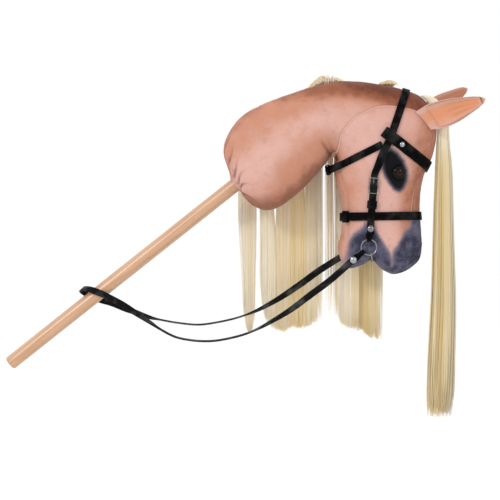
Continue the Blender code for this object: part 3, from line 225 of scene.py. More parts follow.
# How far each thing is drawn in, in millimetres: the seam, the valley beside it and its stitches, the two throat
# creases, the lips, the nostril, a pleat and the valley beside it, and stuffing lumps, large and small
SEAM_IN, VALLEY_IN, STITCH_IN, THROAT_IN, LIPS_IN, NOSTRIL_IN = 1.3, 0.8, 0.2, (4.2, 2.2), 3.0, 3.0
PLEAT_IN, FOLD_IN, LUMPS_IN, UNEVEN_IN = 4.2, 1.6, 0.8, 0.25
# Pale places of the coat, partly pale dye and partly painted light: x, z, how far each spreads and how pale it is
PALE_AND_LIT_SPOTS_MM = ((452, 228, 30, 0.45), (150, 135, 45, 0.3), (200, 85, 40, 0.2))


def bell(away, width):
    """1 at no distance, falling as the exponential of minus the square of its share of the width."""
    return np.exp(-((away / width) ** 2))


def sewn_form():
    """The form with its seams, creases, lips, nostril, lumps and pleats drawn in along its normals, each as a bell of
    the distance from its line or a sum of waves. Also the values that say how it is dyed and sprayed, and where light
    and shade are painted on it."""
    grid = form_rings(ROWS_PER_SPAN, 300, 26, 6)
    normals = outward(grid)
    spots, y = grid[..., [0, 2]], grid[..., 1]
    gap, along, side = from_line(spots, through(CHEEK_SEAM_MM, 5) * MM)
    in_head = -side * gap
    head = smooth(-1 * MM, 1 * MM, in_head)
    gusset = np.abs(np.abs(y) - GUSSET_HALF) + (1 - head)
    nearest = np.minimum(np.minimum(gap, gusset), np.abs(y) + head)
    stitch = np.sin(math.tau * np.where(gap <= nearest, along, grid[..., 0] + grid[..., 2]) / STITCH_STEP)
    draw_in = SEAM_IN * bell(nearest, 1.5 * MM) + (VALLEY_IN + STITCH_IN * stitch) * bell(nearest, 6 * MM)
    crease_shade = 0
    for line, depth in zip(THROAT_CREASES_MM, THROAT_IN):
        away, reach, _ = from_line(spots, through(line, 4) * MM)
        away = away + waves(grid, 25 * MM, 5) * 0.5 * MM
        fold = bell(away, 3.2 * MM) * smooth(0, 30 * MM, reach)
        draw_in += depth * (fold + 0.4 * bell(away, 10 * MM) * smooth(0, 30 * MM, reach))
        crease_shade = np.maximum(crease_shade, fold * depth / THROAT_IN[0])
    lips = from_line(spots, through(LIP_CREASE_MM, 4) * MM)[0]
    draw_in += LIPS_IN * bell(lips, 4 * MM)
    nostril = bell(np.linalg.norm((spots - np.array(NOSTRIL_MM) * MM) / (7 * MM, 4.5 * MM), axis=-1), 1)
    draw_in += NOSTRIL_IN * nostril
    draw_in += LUMPS_IN * (1 + waves(grid, 70 * MM, 3) / 2) + UNEVEN_IN * (1 + waves(grid, 19 * MM, 4) / 2)
    turn = np.arctan2(y, (grid - WAY * HOLE_AT) @ RISE)
    rows = np.arange(len(grid))[:, None] / ROWS_PER_SPAN
    bent = PLEATS + 0.12 * np.sin(3 * rows + np.arange(len(PLEATS)))[:, None]
    off = np.angle(np.exp(1j * (turn[..., None] - bent)))
    reach = np.linalg.norm(grid - WAY * HOLE_AT, axis=-1)[..., None] * np.abs(off)
    pleat = bell(reach, 2.6 * MM).max(axis=-1)
    near_stick = smooth(0.05, 0.4, rows) * (1 - smooth(0.9, 2.1, rows))
    draw_in += (PLEAT_IN * pleat + FOLD_IN * bell(reach, 7 * MM).max(axis=-1)) * near_stick
    lip_fade = 1 - smooth(len(grid) - 8, len(grid) - 1, np.arange(len(grid)))[:, None]
    grid = grid - normals * (draw_in * MM * smooth(0, 0.25, rows) * np.maximum(lip_fade, 0.05))[..., None]
    grid[-1, :, 1] = 0
    share = np.cos(np.arange(grid.shape[1]) * math.tau / grid.shape[1])[None, :] + 0 * rows
    x, z = spots[..., 0] / MM, spots[..., 1] / MM
    # The dark crest, narrow on the neck and broad on the head, fainter down the face and on the poll
    low, high = np.interp(x, (200, 330), (0.75, 0.36)), np.interp(x, (200, 330), (1.12, 0.84))
    back = smooth(0, 1, (share - low) / (high - low)) * np.interp(x, (200, 300, 330, 400), (0.45, 0.6, 0.8, 1.0))
    back = back * (1 - 0.6 * smooth(430, 450, x) * smooth(-235, -195, -z)) * (1 - 0.8 * head * smooth(190, 230, z))
    back = back * (1 - 0.14 * smooth(400, 430, x))
    # The dark underside of the neck, partly dye and partly painted shade, and the paler pink down its sides and over
    # the cheek, partly pale dye and partly painted light where the sides face the viewer
    under = smooth(0.5, 1.0, -share) * (1 - smooth(300, 335, x))
    centre = np.interp(x, (150, 215, 290, 330), (-0.25, 0.15, 0.15, -0.1))
    width = np.interp(x, (150, 215, 290, 330), (0.64, 0.42, 0.36, 0.62))
    pale_dye_and_light = bell(share - centre, width) * (0.86 + 0.14 * head) + 0.12 * head
    pale_dye_and_light = pale_dye_and_light - 0.14 * smooth(395, 425, x) * smooth(60, 90, z) * (1 - smooth(190, 215, z))
    pale_dye_and_light = pale_dye_and_light + 0.3 * bell(x - 338, 20) * (1 - smooth(40, 80, z))
    for spot_x, spot_z, spread, paler in PALE_AND_LIT_SPOTS_MM:
        pale_dye_and_light = pale_dye_and_light + paler * bell(np.hypot(x - spot_x, z - spot_z), spread)
    soft = waves(grid, 34 * MM, 8) * 2.5 * MM
    sprayed_from = (-11 - 7 * (1 - smooth(350, 385, x))) * MM
    # Soft waves break up the sprayed edges, and the grey fades over a longer way behind the chin
    marks = {
        "back": np.clip(back + 0.02 * waves(grid, 40 * MM, 11), 0, 1),
        # Darker underside: partly dye, partly painted shade
        "under": np.clip(under, 0, 1),
        # Paler sides: partly pale dye, partly painted light
        "pale_dye_and_light": np.clip(pale_dye_and_light + 0.08 * waves(grid, 45 * MM, 12), 0, 1),
        "grey": smooth(sprayed_from, 8 * MM, inside(spots, np.array(GREY_MM) * MM) + soft),
        "nostril": nostril,
        "patch": smooth(-13 * MM, 8 * MM, inside(spots, np.array(EYE_PATCH_MM) * MM) + soft * 0.3),
        "cheek_seam": in_head / MM,
        # Painted shade in the pleats round the stick and in the throat creases
        "fold": np.clip(pleat * near_stick + crease_shade, 0, 1),
    }
    return grid, marks


def new_material(name):
    """A material, its nodes and its main shader."""
    material = bpy.data.materials.new(name)
    material.use_nodes = True
    tree = material.node_tree
    return material, tree, tree.nodes["Principled BSDF"]


def feed(tree, made, inputs):
    """Gives a shader node its inputs: a socket is linked, and a number or colour is set."""
    for key, value in inputs.items():
        if isinstance(value, bpy.types.NodeSocket):
            tree.links.new(value, made.inputs[key])
        else:
            made.inputs[key].default_value = value


def node(tree, kind, inputs=None, out=0, **settings):
    """A shader node with its settings and inputs, by name or number. Gives its output socket."""
    made = tree.nodes.new("ShaderNode" + kind)
    for key, value in settings.items():
        setattr(made, key, value)
    feed(tree, made, inputs or {})
    return made.outputs[out]


def noise(tree, place, scale, detail=2.0, roughness=0.5):
    """Cloudy noise from 0 to 1."""
    return node(tree, "TexNoise", {"Vector": place, "Scale": scale, "Detail": detail, "Roughness": roughness})


def bumps(tree, height, strength, depth):
    """A surface roughened by a height."""
    return node(tree, "Bump", {"Strength": strength, "Distance": depth, "Height": height})


def mixed(tree, factor, first, second):
    """One colour turning into another as the factor goes from 0 to 1."""
    return node(tree, "Mix", {0: factor, 6: first, 7: second}, out=2, data_type="RGBA")


def layered(tree, colour, *layers):
    """Layers of dye over a colour: each covers what is below it by its own share."""
    for share, over in layers:
        colour = mixed(tree, share, colour, over)
    return colour


def ramp(tree, value, low, high):
    """0 below low, 1 above high and a smooth step between."""
    inputs = {"Value": value, "From Min": low, "From Max": high}
    return node(tree, "MapRange", inputs, interpolation_type="SMOOTHSTEP")


def between(tree, value, low, high):
    """From low to high as the value goes from 0 to 1."""
    return node(tree, "MapRange", {"Value": value, "To Min": low, "To Max": high})


def sum_of(tree, operation, first, second=0.0):
    """An operation on two values, named in capitals."""
    return node(tree, "Math", {0: first, 1: second}, operation=operation)


def times(tree, first, second):
    """The product of two values."""
    return sum_of(tree, "MULTIPLY", first, second)


def plus(tree, first, second):
    """The sum of two values."""
    return sum_of(tree, "ADD", first, second)


def less(tree, first, second):
    """The first value less the second."""
    return sum_of(tree, "SUBTRACT", first, second)


def mark(tree, name):
    """The value painted on the piece under that name."""
    return node(tree, "Attribute", out=2, attribute_name=name)


def dye(red, green, blue):
    """A colour given as the eye sees it, 0 to 255, for a shader."""
    parts = np.array([red, green, blue]) / 255
    linear = np.where(parts <= 0.04045, parts / 12.92, ((parts + 0.055) / 1.055) ** 2.4)
    return (*map(float, linear), 1.0)


def pile_cloth():
    """Short terracotta pile, dyed darker along the crest, paler pink down the sides (partly dye, partly painted light
    where the sides face the viewer) and darker under the neck (partly dye, partly painted shade), with sprayed grey and
    black and a thin pale line in each seam. Painted shade lies in the valley beside each seam and in the pleats and
    creases. The seams lie where the gusset's half width or the middle plane is reached."""
    material, tree, shader = new_material("chestnut_pile")
    place = node(tree, "TexCoord", out=3)
    broad, blotch = noise(tree, place, 26.0, 3.0), noise(tree, place, 75.0, 4.0, 0.6)
    fine, hairs = noise(tree, place, 420.0, 3.0, 0.7), noise(tree, place, 1300.0)
    grain = less(tree, fine, 0.5)
    drift = plus(tree, times(tree, less(tree, broad, 0.5), 0.9), times(tree, less(tree, blotch, 0.5), 0.7))
    # The paler sides, partly dye and partly painted light, and the darker underside, partly dye and partly painted
    # shade, with a little drift of their own
    pale_dye_and_light, under = plus(tree, mark(tree, "pale_dye_and_light"), drift), plus(tree, mark(tree, "under"), drift)
    back = plus(tree, mark(tree, "back"), times(tree, drift, 0.7))
    seam, aside = mark(tree, "cheek_seam"), sum_of(tree, "ABSOLUTE", node(tree, "SeparateXYZ", {0: place}, out=1))
    in_head = times(tree, ramp(tree, seam, -0.2, 0.2), 8.0)
    past_gusset = sum_of(tree, "ABSOLUTE", less(tree, aside, GUSSET_HALF))
    gusset_gap = less(tree, node(tree, "Math", {0: past_gusset, 1: 1000.0, 2: 8.0}, operation="MULTIPLY_ADD"), in_head)
    middle_gap = node(tree, "Math", {0: aside, 1: 1000.0, 2: in_head}, operation="MULTIPLY_ADD")
    gap = sum_of(tree, "MINIMUM", sum_of(tree, "ABSOLUTE", seam), sum_of(tree, "MINIMUM", gusset_gap, middle_gap))
    speck = plus(tree, mark(tree, "grey"), times(tree, grain, 0.45))
    cloud = plus(tree, times(tree, plus(tree, broad, blotch), 0.5), times(tree, grain, 0.3))
    patch = plus(tree, mark(tree, "patch"), times(tree, grain, 0.4))
    coat = layered(
        # Paler pink on the sides: partly pale dye, partly painted light
        tree, mixed(tree, ramp(tree, pale_dye_and_light, 0.0, 1.1), dye(206, 145, 119), dye(227, 180, 168)),
        # Darker under the neck: partly dye, partly painted shade
        (ramp(tree, under, 0.05, 1.1), dye(152, 98, 76)),
        (ramp(tree, back, 0.0, 0.6), dye(158, 96, 70)),
        (ramp(tree, back, 0.5, 1.12), dye(108, 58, 42)),
        (times(tree, ramp(tree, fine, 0.5, 0.8), 0.28), dye(170, 108, 84)),
        # Painted shade in the pleats and creases
        (times(tree, mark(tree, "fold"), 0.5), dye(130, 74, 54)),
        # Painted shade in the valley beside each seam, then the pale line in the seam itself
        (times(tree, less(tree, 1.0, ramp(tree, gap, 0.8, 4.0)), 0.25), dye(150, 94, 72)),
        (times(tree, less(tree, 1.0, ramp(tree, gap, 0.3, 1.1)), 0.8), dye(238, 196, 182)),
        (times(tree, ramp(tree, speck, 0.05, 0.6), 0.85), dye(124, 118, 136)),
        (times(tree, ramp(tree, speck, 0.3, 0.95), 0.97),
         mixed(tree, ramp(tree, cloud, 0.4, 0.62), dye(52, 53, 72), dye(100, 100, 122))),
        (times(tree, mark(tree, "nostril"), 0.8), dye(46, 45, 62)),
        (ramp(tree, patch, 0.08, 0.62), dye(92, 87, 102)),
        (ramp(tree, patch, 0.42, 0.9), dye(14, 15, 18)),
    )
    height = plus(tree, times(tree, fine, 0.6), times(tree, hairs, 0.5))
    feed(tree, shader, {
        "Base Color": coat, "Normal": bumps(tree, height, 0.5, 0.001), "Roughness": 0.9, "Specular IOR Level": 0.12,
        "Sheen Weight": 0.15, "Sheen Roughness": 0.5,
    })
    return material


def turned(profile, origin, axis, side, columns):
    """Rings of a turned shape: each profile row's radius swung round the axis at its height."""
    third = np.cross(axis, side)
    angle = np.arange(columns) * math.tau / columns
    around = np.asarray(side) * np.cos(angle)[:, None] + third * np.sin(angle)[:, None]
    radius, height = np.asarray(profile, float).T
    return np.asarray(origin) + np.asarray(axis) * height[:, None, None] + around * radius[:, None, None]


head_grid, head_marks = sewn_form()
columns = head_grid.shape[1]
bore = turned([(BORE_RADIUS * 0.02, -STICK_TOP - 2 * MM), (BORE_RADIUS, -STICK_TOP - 2 * MM),
               (BORE_RADIUS, -HOLE_AT - 5 * MM), (BORE_RADIUS + 0.2 * MM, -HOLE_AT - 1.5 * MM)],
              (0, 0, 0), -WAY, RISE, columns)
head_points = np.concatenate([bore, head_grid])
rings = len(head_points)
numbers = np.arange(rings * columns).reshape(rings, columns)
# The last ring is the line between the lips: its far half shares the points of its near half
numbers[-1] = (rings - 1) * columns + np.minimum(np.arange(columns), (columns - np.arange(columns)) % columns)
stuffed_head = piece(
    "stuffed_head_and_neck", head_points,
    [numbers.ravel()[quads(rings, columns, wrap_columns=True)], np.arange(columns)[None, :]],
    pile_cloth(), "coat_fabric",
    replaces=("neck_panel_near", "neck_panel_far", "cheek_panel_near", "cheek_panel_far", "front_gusset", "jaw_gusset",
              "filling"),
    marks={key: np.concatenate([np.zeros((len(bore), columns)), values + 0 * head_grid[..., 0]])
           for key, values in head_marks.items()},
)

# Stick
# A beech dowel, turned and sanded with rounded ends, under a clear satin varnish. It is glued in the stuffing.

STICK_RADIUS = 12.5 * MM
STICK_BELOW = 346 * MM
STICK_ROUNDING = 5 * MM
KNOT_AT = np.array([12.6, -11.5, 8.1]) * MM
KNOT_SIZE = 2.2 * MM


def varnished_beech():
    """Pale pinkish beech: long grain stretched along the stick, short darker flecks, a small knot and a clear coat."""
    material, tree, shader = new_material("varnished_beech")
    place = node(tree, "TexCoord", out=3)
    level = node(tree, "Mapping", {"Vector": place, "Rotation": (0.0, STICK_RISE, 0.0)})
    long_grain = node(tree, "VectorMath", {0: level, 1: (9.0, 230.0, 230.0)}, operation="MULTIPLY")
    flecks = node(tree, "VectorMath", {0: level, 1: (260.0, 1500.0, 1500.0)}, operation="MULTIPLY")
    grain = node(tree, "TexNoise", {"Vector": long_grain, "Scale": 1.0, "Detail": 5.0, "Distortion": 0.4})
    wood = layered(
        tree, mixed(tree, ramp(tree, grain, 0.3, 0.72), dye(219, 175, 138), dye(202, 153, 114)),
        (times(tree, ramp(tree, noise(tree, flecks, 1.0, 1.0), 0.6, 0.72), 0.3), dye(180, 126, 90)),
        (mark(tree, "knot"), dye(150, 98, 66)),
    )
    feed(tree, shader, {"Base Color": wood, "Roughness": between(tree, grain, 0.32, 0.46), "Coat Weight": 0.8,
                        "Coat Roughness": 0.27, "Normal": bumps(tree, grain, 0.05, 0.0003)})
    return material


def closed_tube(grid):
    """Faces of a stack of rings, closed by a cap at each end."""
    rows, columns = grid.shape[:2]
    caps = np.stack([np.arange(columns)[::-1], (rows - 1) * columns + np.arange(columns)])
    return [quads(rows, columns, wrap_columns=True), caps]


corner = np.radians(np.linspace(0, 90, 9))
low_end = np.column_stack([STICK_RADIUS - STICK_ROUNDING * (1 - np.sin(corner)),
                           -STICK_BELOW + STICK_ROUNDING * (1 - np.cos(corner))])
heights = np.linspace(-STICK_BELOW + STICK_ROUNDING, STICK_TOP - STICK_ROUNDING, 62)[1:-1]
middle = np.column_stack([np.full(len(heights), STICK_RADIUS), heights])
high_end = (low_end * (1, -1))[::-1] + (0, STICK_TOP - STICK_BELOW)
stick_grid = turned(np.vstack([low_end, middle, high_end]), (0, 0, 0), WAY, RISE, 72)
knot_mark = 0.5 * bell(np.linalg.norm(stick_grid - KNOT_AT, axis=-1), KNOT_SIZE)
piece("turned_stick", stick_grid, closed_tube(stick_grid), varnished_beech(), "beech", replaces=("stick",),
      marks={"knot": knot_mark}, sharp=60)

# Eyes
# A pair of black domed safety eyes with a dark brown iris, on a shank through the cheek panel and a washer.

EYE_RADIUS = 13 * MM
EYE_HEIGHT = 8 * MM
SHANK_RADIUS = 2.5 * MM
SHANK_LENGTH = 15 * MM
# Between pieces that touch in the real toy
GAP = 0.3 * MM
FORM_GRID = form_rings(8, 72, 4)
FORM_FACES = quads(len(FORM_GRID), 72, wrap_columns=True)
FORM = BVHTree.FromPolygons(FORM_GRID.reshape(-1, 3).tolist(), FORM_FACES.tolist())
FAR_AWAY = 0.4


def on_side(x, z, side=-1):
    """Where the stuffed head's side is at x, z, and which way it faces."""
    point, normal = FORM.ray_cast(Vector((x, side * FAR_AWAY, z)), Vector((0, -side, 0)))[:2]
    return point, normal if normal.y * side > 0 else -normal


def glossy_eye():
    """Black plastic with a dark brown ring under a polished dome."""
    material, tree, shader = new_material("eye_gloss")
    speck = noise(tree, node(tree, "TexCoord", out=3), 900.0)
    uneven = plus(tree, mark(tree, "reach"), times(tree, less(tree, speck, 0.5), 0.12))
    iris = mixed(tree, ramp(tree, uneven, 0.34, 0.42), dye(58, 22, 12), dye(4, 3, 4))
    pupil = mixed(tree, ramp(tree, uneven, 0.17, 0.24), dye(4, 3, 4), iris)
    feed(tree, shader, {"Base Color": pupil, "Roughness": 0.03, "Specular IOR Level": 0.2})
    return material


def redress(solid, finish):
    """Gives a solid that keeps its shape a better material."""
    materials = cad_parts[solid].data.materials
    materials.clear()
    materials.append(finish)


EYE_GLOSS = glossy_eye()
for name, side in (("near", -1), ("far", 1)):
    point, normal = on_side(EYE_MM[0] * MM, EYE_MM[1] * MM, side)
    across = unit(np.cross((0, 0, 1), normal))
    dome = np.radians(np.linspace(1, 90, 22))
    profile = [*zip(EYE_RADIUS * np.sin(dome), 2 * GAP + EYE_HEIGHT * np.cos(dome)),
               (EYE_RADIUS - 0.5 * MM, 1.4 * GAP), (SHANK_RADIUS, 1.2 * GAP), (SHANK_RADIUS, -SHANK_LENGTH)]
    grid = turned(profile, point, np.array(normal), across, 56)
    reach = np.repeat(np.array(profile)[:, 0] / EYE_RADIUS, 56)
    piece(f"domed_eye_{name}", grid, closed_tube(grid), EYE_GLOSS, "eye_plastic", replaces=(f"eye_{name}",),
          marks={"reach": reach}, sharp=50)

washer_finish, tree, shader = new_material("washer_plastic_moulded")
speck = noise(tree, node(tree, "TexCoord", out=3), 300.0)
feed(tree, shader, {"Base Color": mixed(tree, speck, dye(216, 216, 214), dye(228, 228, 226))})
redress("eye_washer_near", washer_finish)
redress("eye_washer_far", washer_finish)

# Ears
# Each is a leaf of coat cloth with a smaller leaf of orange lining, sewn along the rim, turned and cupped. The
# drawn-in root is sewn to the head beside the poll.

EAR_HALF_BREADTH = 25 * MM
EAR_CUP = 9 * MM
EAR_FABRIC = 1.6 * MM
HEM_IN = 2.2 * MM
CREASE_OUT = 0.6 * MM
LINING_LIFT = 0.7 * MM
# Which ear, its root and tip, its turn in degrees, how far its root slants and its side
EARS = (
    ("near", (471, -40, 221), (580, -62, 258.5), 0, 8 * MM, -1),
    ("far", (470, 38, 228), (558, 66, 284.5), 38, 0.0, 1),
)


def ear_leaf(root, tip, roll, slant, side, offset, reach, share, clearances, sewn):
    """A leaf: its breadth follows a bulged sine, its cup falls off with the square of the way to the rim. Coarse rows
    are moved clear of the head's side, and a smooth surface runs through them."""
    along = (reach[1] - (reach[1] - reach[0]) * (1 - np.linspace(0, 1, 9)) ** 1.5)[:, None]
    across = np.linspace(-share, share, 7)[None, :]
    root, tip = np.array(root) * MM, np.array(tip) * MM
    length = np.linalg.norm(tip - root)
    forward = (tip - root) / length
    up = -unit(np.cross(forward, (0, 1, 0)))
    out = np.cross(up, forward) * side
    up, out = up * math.cos(roll) - out * math.sin(roll), out * math.cos(roll) + up * math.sin(roll)
    bulge = np.sin(math.pi * (0.2 + 0.8 * along) ** 0.85)
    breadth = EAR_HALF_BREADTH * bulge ** (0.8 - 0.25 * smooth(0.6, 1, along))
    cup = EAR_CUP * (1 - across**2) * np.sin(math.pi * (0.25 + 0.7 * along)) + offset
    line = root + forward * (length * along + slant * across * (1 - along))[..., None]
    grid = line + up * (breadth * across)[..., None] + out * cup[..., None]
    for row, clearance in zip(grid, clearances):
        for spot in row:
            found = FORM.ray_cast(Vector((spot[0], side * FAR_AWAY, spot[2])), Vector((0, -side, 0)))[0]
            if found:
                clear = found.y * side + clearance
                spot[1] = side * (clear if sewn and row is grid[0] else max(spot[1] * side, clear))
    return through(through(grid, 7).swapaxes(0, 1), 7).swapaxes(0, 1), out


def wall(grid, normals, low, high):
    """A sheet between two distances from a grid along its normals, closed round its rim."""
    rows, columns = grid.shape[:2]
    both = np.concatenate([grid + normals * low, grid + normals * high])
    top = quads(rows, columns)
    rim = np.concatenate([np.arange(columns), columns * np.arange(1, rows) + columns - 1,
                          (rows - 1) * columns + np.arange(columns - 2, -1, -1), columns * np.arange(rows - 2, 0, -1)])
    ahead = np.roll(rim, -1)
    count = rows * columns
    sides = np.column_stack([rim, rim + count, ahead + count, ahead])
    return both, [top[:, ::-1], top + count, sides]


def sheet_normals(grid):
    """Unit normals of an open grid: the cross product of its steps along rows and columns."""
    return unit(np.cross(np.gradient(grid, axis=0), np.gradient(grid, axis=1)))


def ear_cloth(name, middle_dye, rim_dye, shade_and_mottle_dye):
    """Pile cloth paler at the folded rim, with painted shade in creases that run the ear's length."""
    material, tree, shader = new_material(name)
    place = node(tree, "TexCoord", out=3)
    broad, fine = noise(tree, place, 60.0, 4.0), noise(tree, place, 420.0, 3.0, 0.7)
    uneven = plus(tree, mark(tree, "rim"), times(tree, less(tree, broad, 0.5), 0.5))
    cloth = layered(
        tree, mixed(tree, ramp(tree, uneven, 0.45, 0.95), middle_dye, rim_dye),
        # Painted shade in the creases, and a fine mottle in the same darker dye
        (times(tree, mark(tree, "fold"), 0.5), shade_and_mottle_dye), (times(tree, ramp(tree, fine, 0.5, 0.78), 0.3), shade_and_mottle_dye),
    )
    feed(tree, shader, {"Base Color": cloth, "Normal": bumps(tree, fine, 0.5, 0.001), "Roughness": 0.9,
                        "Specular IOR Level": 0.12, "Sheen Weight": 0.2})
    return material


EAR_OUTER = {
    "near": ear_cloth("ear_pile", dye(222, 156, 124), dye(218, 178, 166), dye(172, 108, 82)),
    # The far ear is the same pile in darker dyes: painted shade, as it turns away from the lamps
    "far": ear_cloth("shaded_far_ear_pile", dye(196, 132, 102), dye(204, 152, 132), dye(146, 88, 64)),
}
EAR_LINING = ear_cloth("ear_lining_cloth", dye(226, 154, 117), dye(220, 172, 150), dye(186, 116, 86))
LINING_SET_IN = -1.4 * EAR_FABRIC - 2 * GAP
for name, root, tip, roll, slant, side in EARS:
    seat, under = EAR_FABRIC / 2 + GAP, 3 * EAR_FABRIC + GAP
    for layer, offset, reach, share in (("ear", 0, (0, 1), 1), ("ear_lining", LINING_SET_IN, (0.16, 0.93), 0.84)):
        lining = layer == "ear_lining"
        clearances = [seat] * 9 if lining else [seat, *[under] * 8]
        leaf, out = ear_leaf(root, tip, math.radians(roll), slant, side, offset, reach, share, clearances, not lining)
        rows, across = leaf.shape[:2]
        s = np.linspace(-1, 1, across)[None, :]
        t = np.linspace(0, 1, rows)[:, None]
        normals = sheet_normals(leaf)
        normals = normals * np.sign((normals @ out).mean())
        if not lining:
            hem = smooth(0.82, 1.0, np.abs(s)) * smooth(0.1, 0.3, t)
            leaf = leaf - normals * (hem * HEM_IN)[..., None]
        fold = 0.5 + 0.5 * np.sin(11 * s + 3 * np.sin(4 * t))
        crease = fold * (1 - np.abs(s)) * smooth(0, 0.2, t) * (1 - t)
        leaf = leaf + normals * (CREASE_OUT * crease + LINING_LIFT * (1 - smooth(0, 0.16, t)) * lining)[..., None]
        half = (EAR_FABRIC / 2 * (0.3 + 0.7 * smooth(0, 0.12, t) if lining else 1 + 0 * t))[..., None]
        points, faces = wall(leaf, normals, -half, half)
        pale = np.maximum(np.maximum(np.abs(s), t**3), (0.4 + 0.5 * s) * (1 - smooth(0.1, 0.6, t)))
        # The fold mark says where painted shade darkens the creases
        marks = {"rim": np.tile(pale.ravel(), 2), "fold": np.tile((fold * (1 - t) * smooth(0.12, 0.4, t)).ravel(), 2)}
        made = piece(f"{layer}_leaf_{name}", points, faces, EAR_LINING if lining else EAR_OUTER[name], "coat_fabric",
                     replaces=(f"{layer}_{name}",), marks=marks)
        edge = made.modifiers.new("turned edge", "BEVEL")
        edge.width, edge.segments, edge.limit_method = 0.5 * MM, 2, "ANGLE"

# Mane
# Hanks of long straight synthetic fibre, pale gold to cream, sewn to a band along the crest. They fall over the
# far side of the neck and hang past it as a curtain with gaps and feathered ends.

MANE_WRAP = 62 * MM
ROOT_LIFT = 2.7 * MM
# Lock, its solid, first and last x of the curtain and of its roots, stand-off, where and how far it narrows
LOCKS_MM = (
    ("withers", "mane_lock_withers", 141, 173, 141, 177, 7.6, 166, 0.3),
    ("neck_rear", "mane_lock_neck_rear", 180, 239, 178, 238, 7.6, 214, 0),
    ("neck_front", "mane_lock_neck_front", 238, 293, 240, 302, 7.6, 262, 0),
    ("throat", "mane_lock_throat", 300, 359, 302, 358, 9, 338, 0),
    ("cheek", "mane_lock_cheek", 358, 404, 360, 430, 19.5, 380, 0),
)
SHEET_LOW = -178
# Spans of the curtain over the neck and below its widest place, and rows in each
SPANS_OVER, SPANS_DOWN, ROWS_PER_FALL = 5, 6, 12
HANK_STEP_MM = 1.25
HANK_SPREAD_MM = 2.3
HAIRS_PER_HANK = 44
HAIR_FLATNESS = 0.2
HANK_SWAY = 0.8 * MM
HAIR_SWAY = 0.35 * MM
# How far a hank's hairs stand in and out, along the fall and at the crest, and how far apart their roots are
HANK_DEPTH = 2.6 * MM
CREST_DEPTH = 1.2 * MM
ROOT_SPREAD_MM = 2.0
PARTING_REACH = 10 * MM
HALF_BREADTHS_MM = (0.6, 1.1)
# Partings that close downwards: x, where each is closed and where it is widest, and half its width
PARTINGS_MM = (
    (209, 0, 62, 3.8), (262, 30, 110, 2.6), (345, 20, 120, 3.0), (384, -60, 90, 2.2), (228, -30, 70, 1.5),
)
# How low the hair hangs, by x
HEMLINE_MM = (
    (141, -80), (145, -122), (151, -148), (158, -160), (166, -153), (172, -132), (177, -100), (179, -78),
    (189, -132), (202, -150), (224, -158), (240, -149), (255, -152), (277, -143), (293, -139), (300, -116),
    (305, -124), (314, -122), (324, -139), (340, -150), (365, -156), (374, -163), (392, -172), (404, -173),
)
# How closely the hair hangs, by x
CLOSENESS_MM = (
    (141, 0.02), (145, 1), (169, 1), (174, 0.03), (181, 0.03), (187, 1), (278, 1), (286, 0.12), (293, 0.03),
    (303, 0.02), (316, 0.03), (324, 0.2), (331, 1), (396, 1), (401, 0.06), (404, 0.02),
)
# How high the hair stands above the crest, by x
CREST_HAIR_MM = (
    (258, 0), (268, 4), (280, 13), (292, 19), (303, 17), (316, 11), (330, 4), (338, 0), (396, 0), (403, 5),
    (413, 9), (425, 10), (435, 6), (442, 0),
)


def long_fibre(name, pale, gold, grey):
    """Glossy straight fibre. Each strand keeps its own tone and some grey, which on the forelock's right side is partly
    painted shade; painted shade darkens the inner strands.
    """
    material, tree, shader = new_material(name)
    hair = layered(tree, pale, (mark(tree, "tone"), gold), (mark(tree, "ash_and_shade"), grey),
                   # Painted shade on the inner hairs, and a few darker hairs
                   (times(tree, mark(tree, "inner_shade_and_dark_hairs"), 0.5), dye(206, 180, 132)))
    streak = noise(tree, node(tree, "TexCoord", out=3), 500.0)
    feed(tree, shader, {
        "Base Color": hair, "Roughness": between(tree, streak, 0.42, 0.6), "Specular IOR Level": 0.3,
        "Sheen Weight": 0.6, "Sheen Roughness": 0.35, "Sheen Tint": dye(255, 242, 214),
    })
    return material


def read(table, x):
    """What a table of x and value gives at x, straight between its rows."""
    return np.interp(x, *np.transpose(table))


def hair_line(x, low, stand_off):
    """The fall of hair at one x: flat on the band by the crest, over the far side's widest place, straight down."""
    centre = Vector((x, 0, read(CREST, x) - MANE_WRAP))
    over = []
    for angle in np.radians(np.linspace(22, 90, SPANS_OVER + 1)):
        ray = Vector((0, math.sin(angle), math.cos(angle)))
        point, normal = FORM.ray_cast(centre, ray)[:2]
        normal = normal if normal.dot(ray) > 0 else -normal
        lift = np.interp(angle, np.radians((22, 66)), (ROOT_LIFT, stand_off)) / max(0.4, 1 - normal.x**2)
        over.append(np.array(point + normal * lift))
    over = np.array(over)
    over[:, 0] = x
    heights = np.linspace(over[-1, 2], low, 60)
    hits = [FORM.ray_cast(Vector((x, FAR_AWAY, z)), Vector((0, -1, 0)))[0] for z in heights]
    out = np.maximum.accumulate([over[-1, 1], *[hit.y + stand_off if hit else 0.0 for hit in hits]])[1:]
    down = np.linspace(over[-1, 2], low, SPANS_DOWN + 1)[1:]
    return np.vstack([over, np.column_stack([np.full(SPANS_DOWN, x), np.interp(-down, -heights, out), down])])


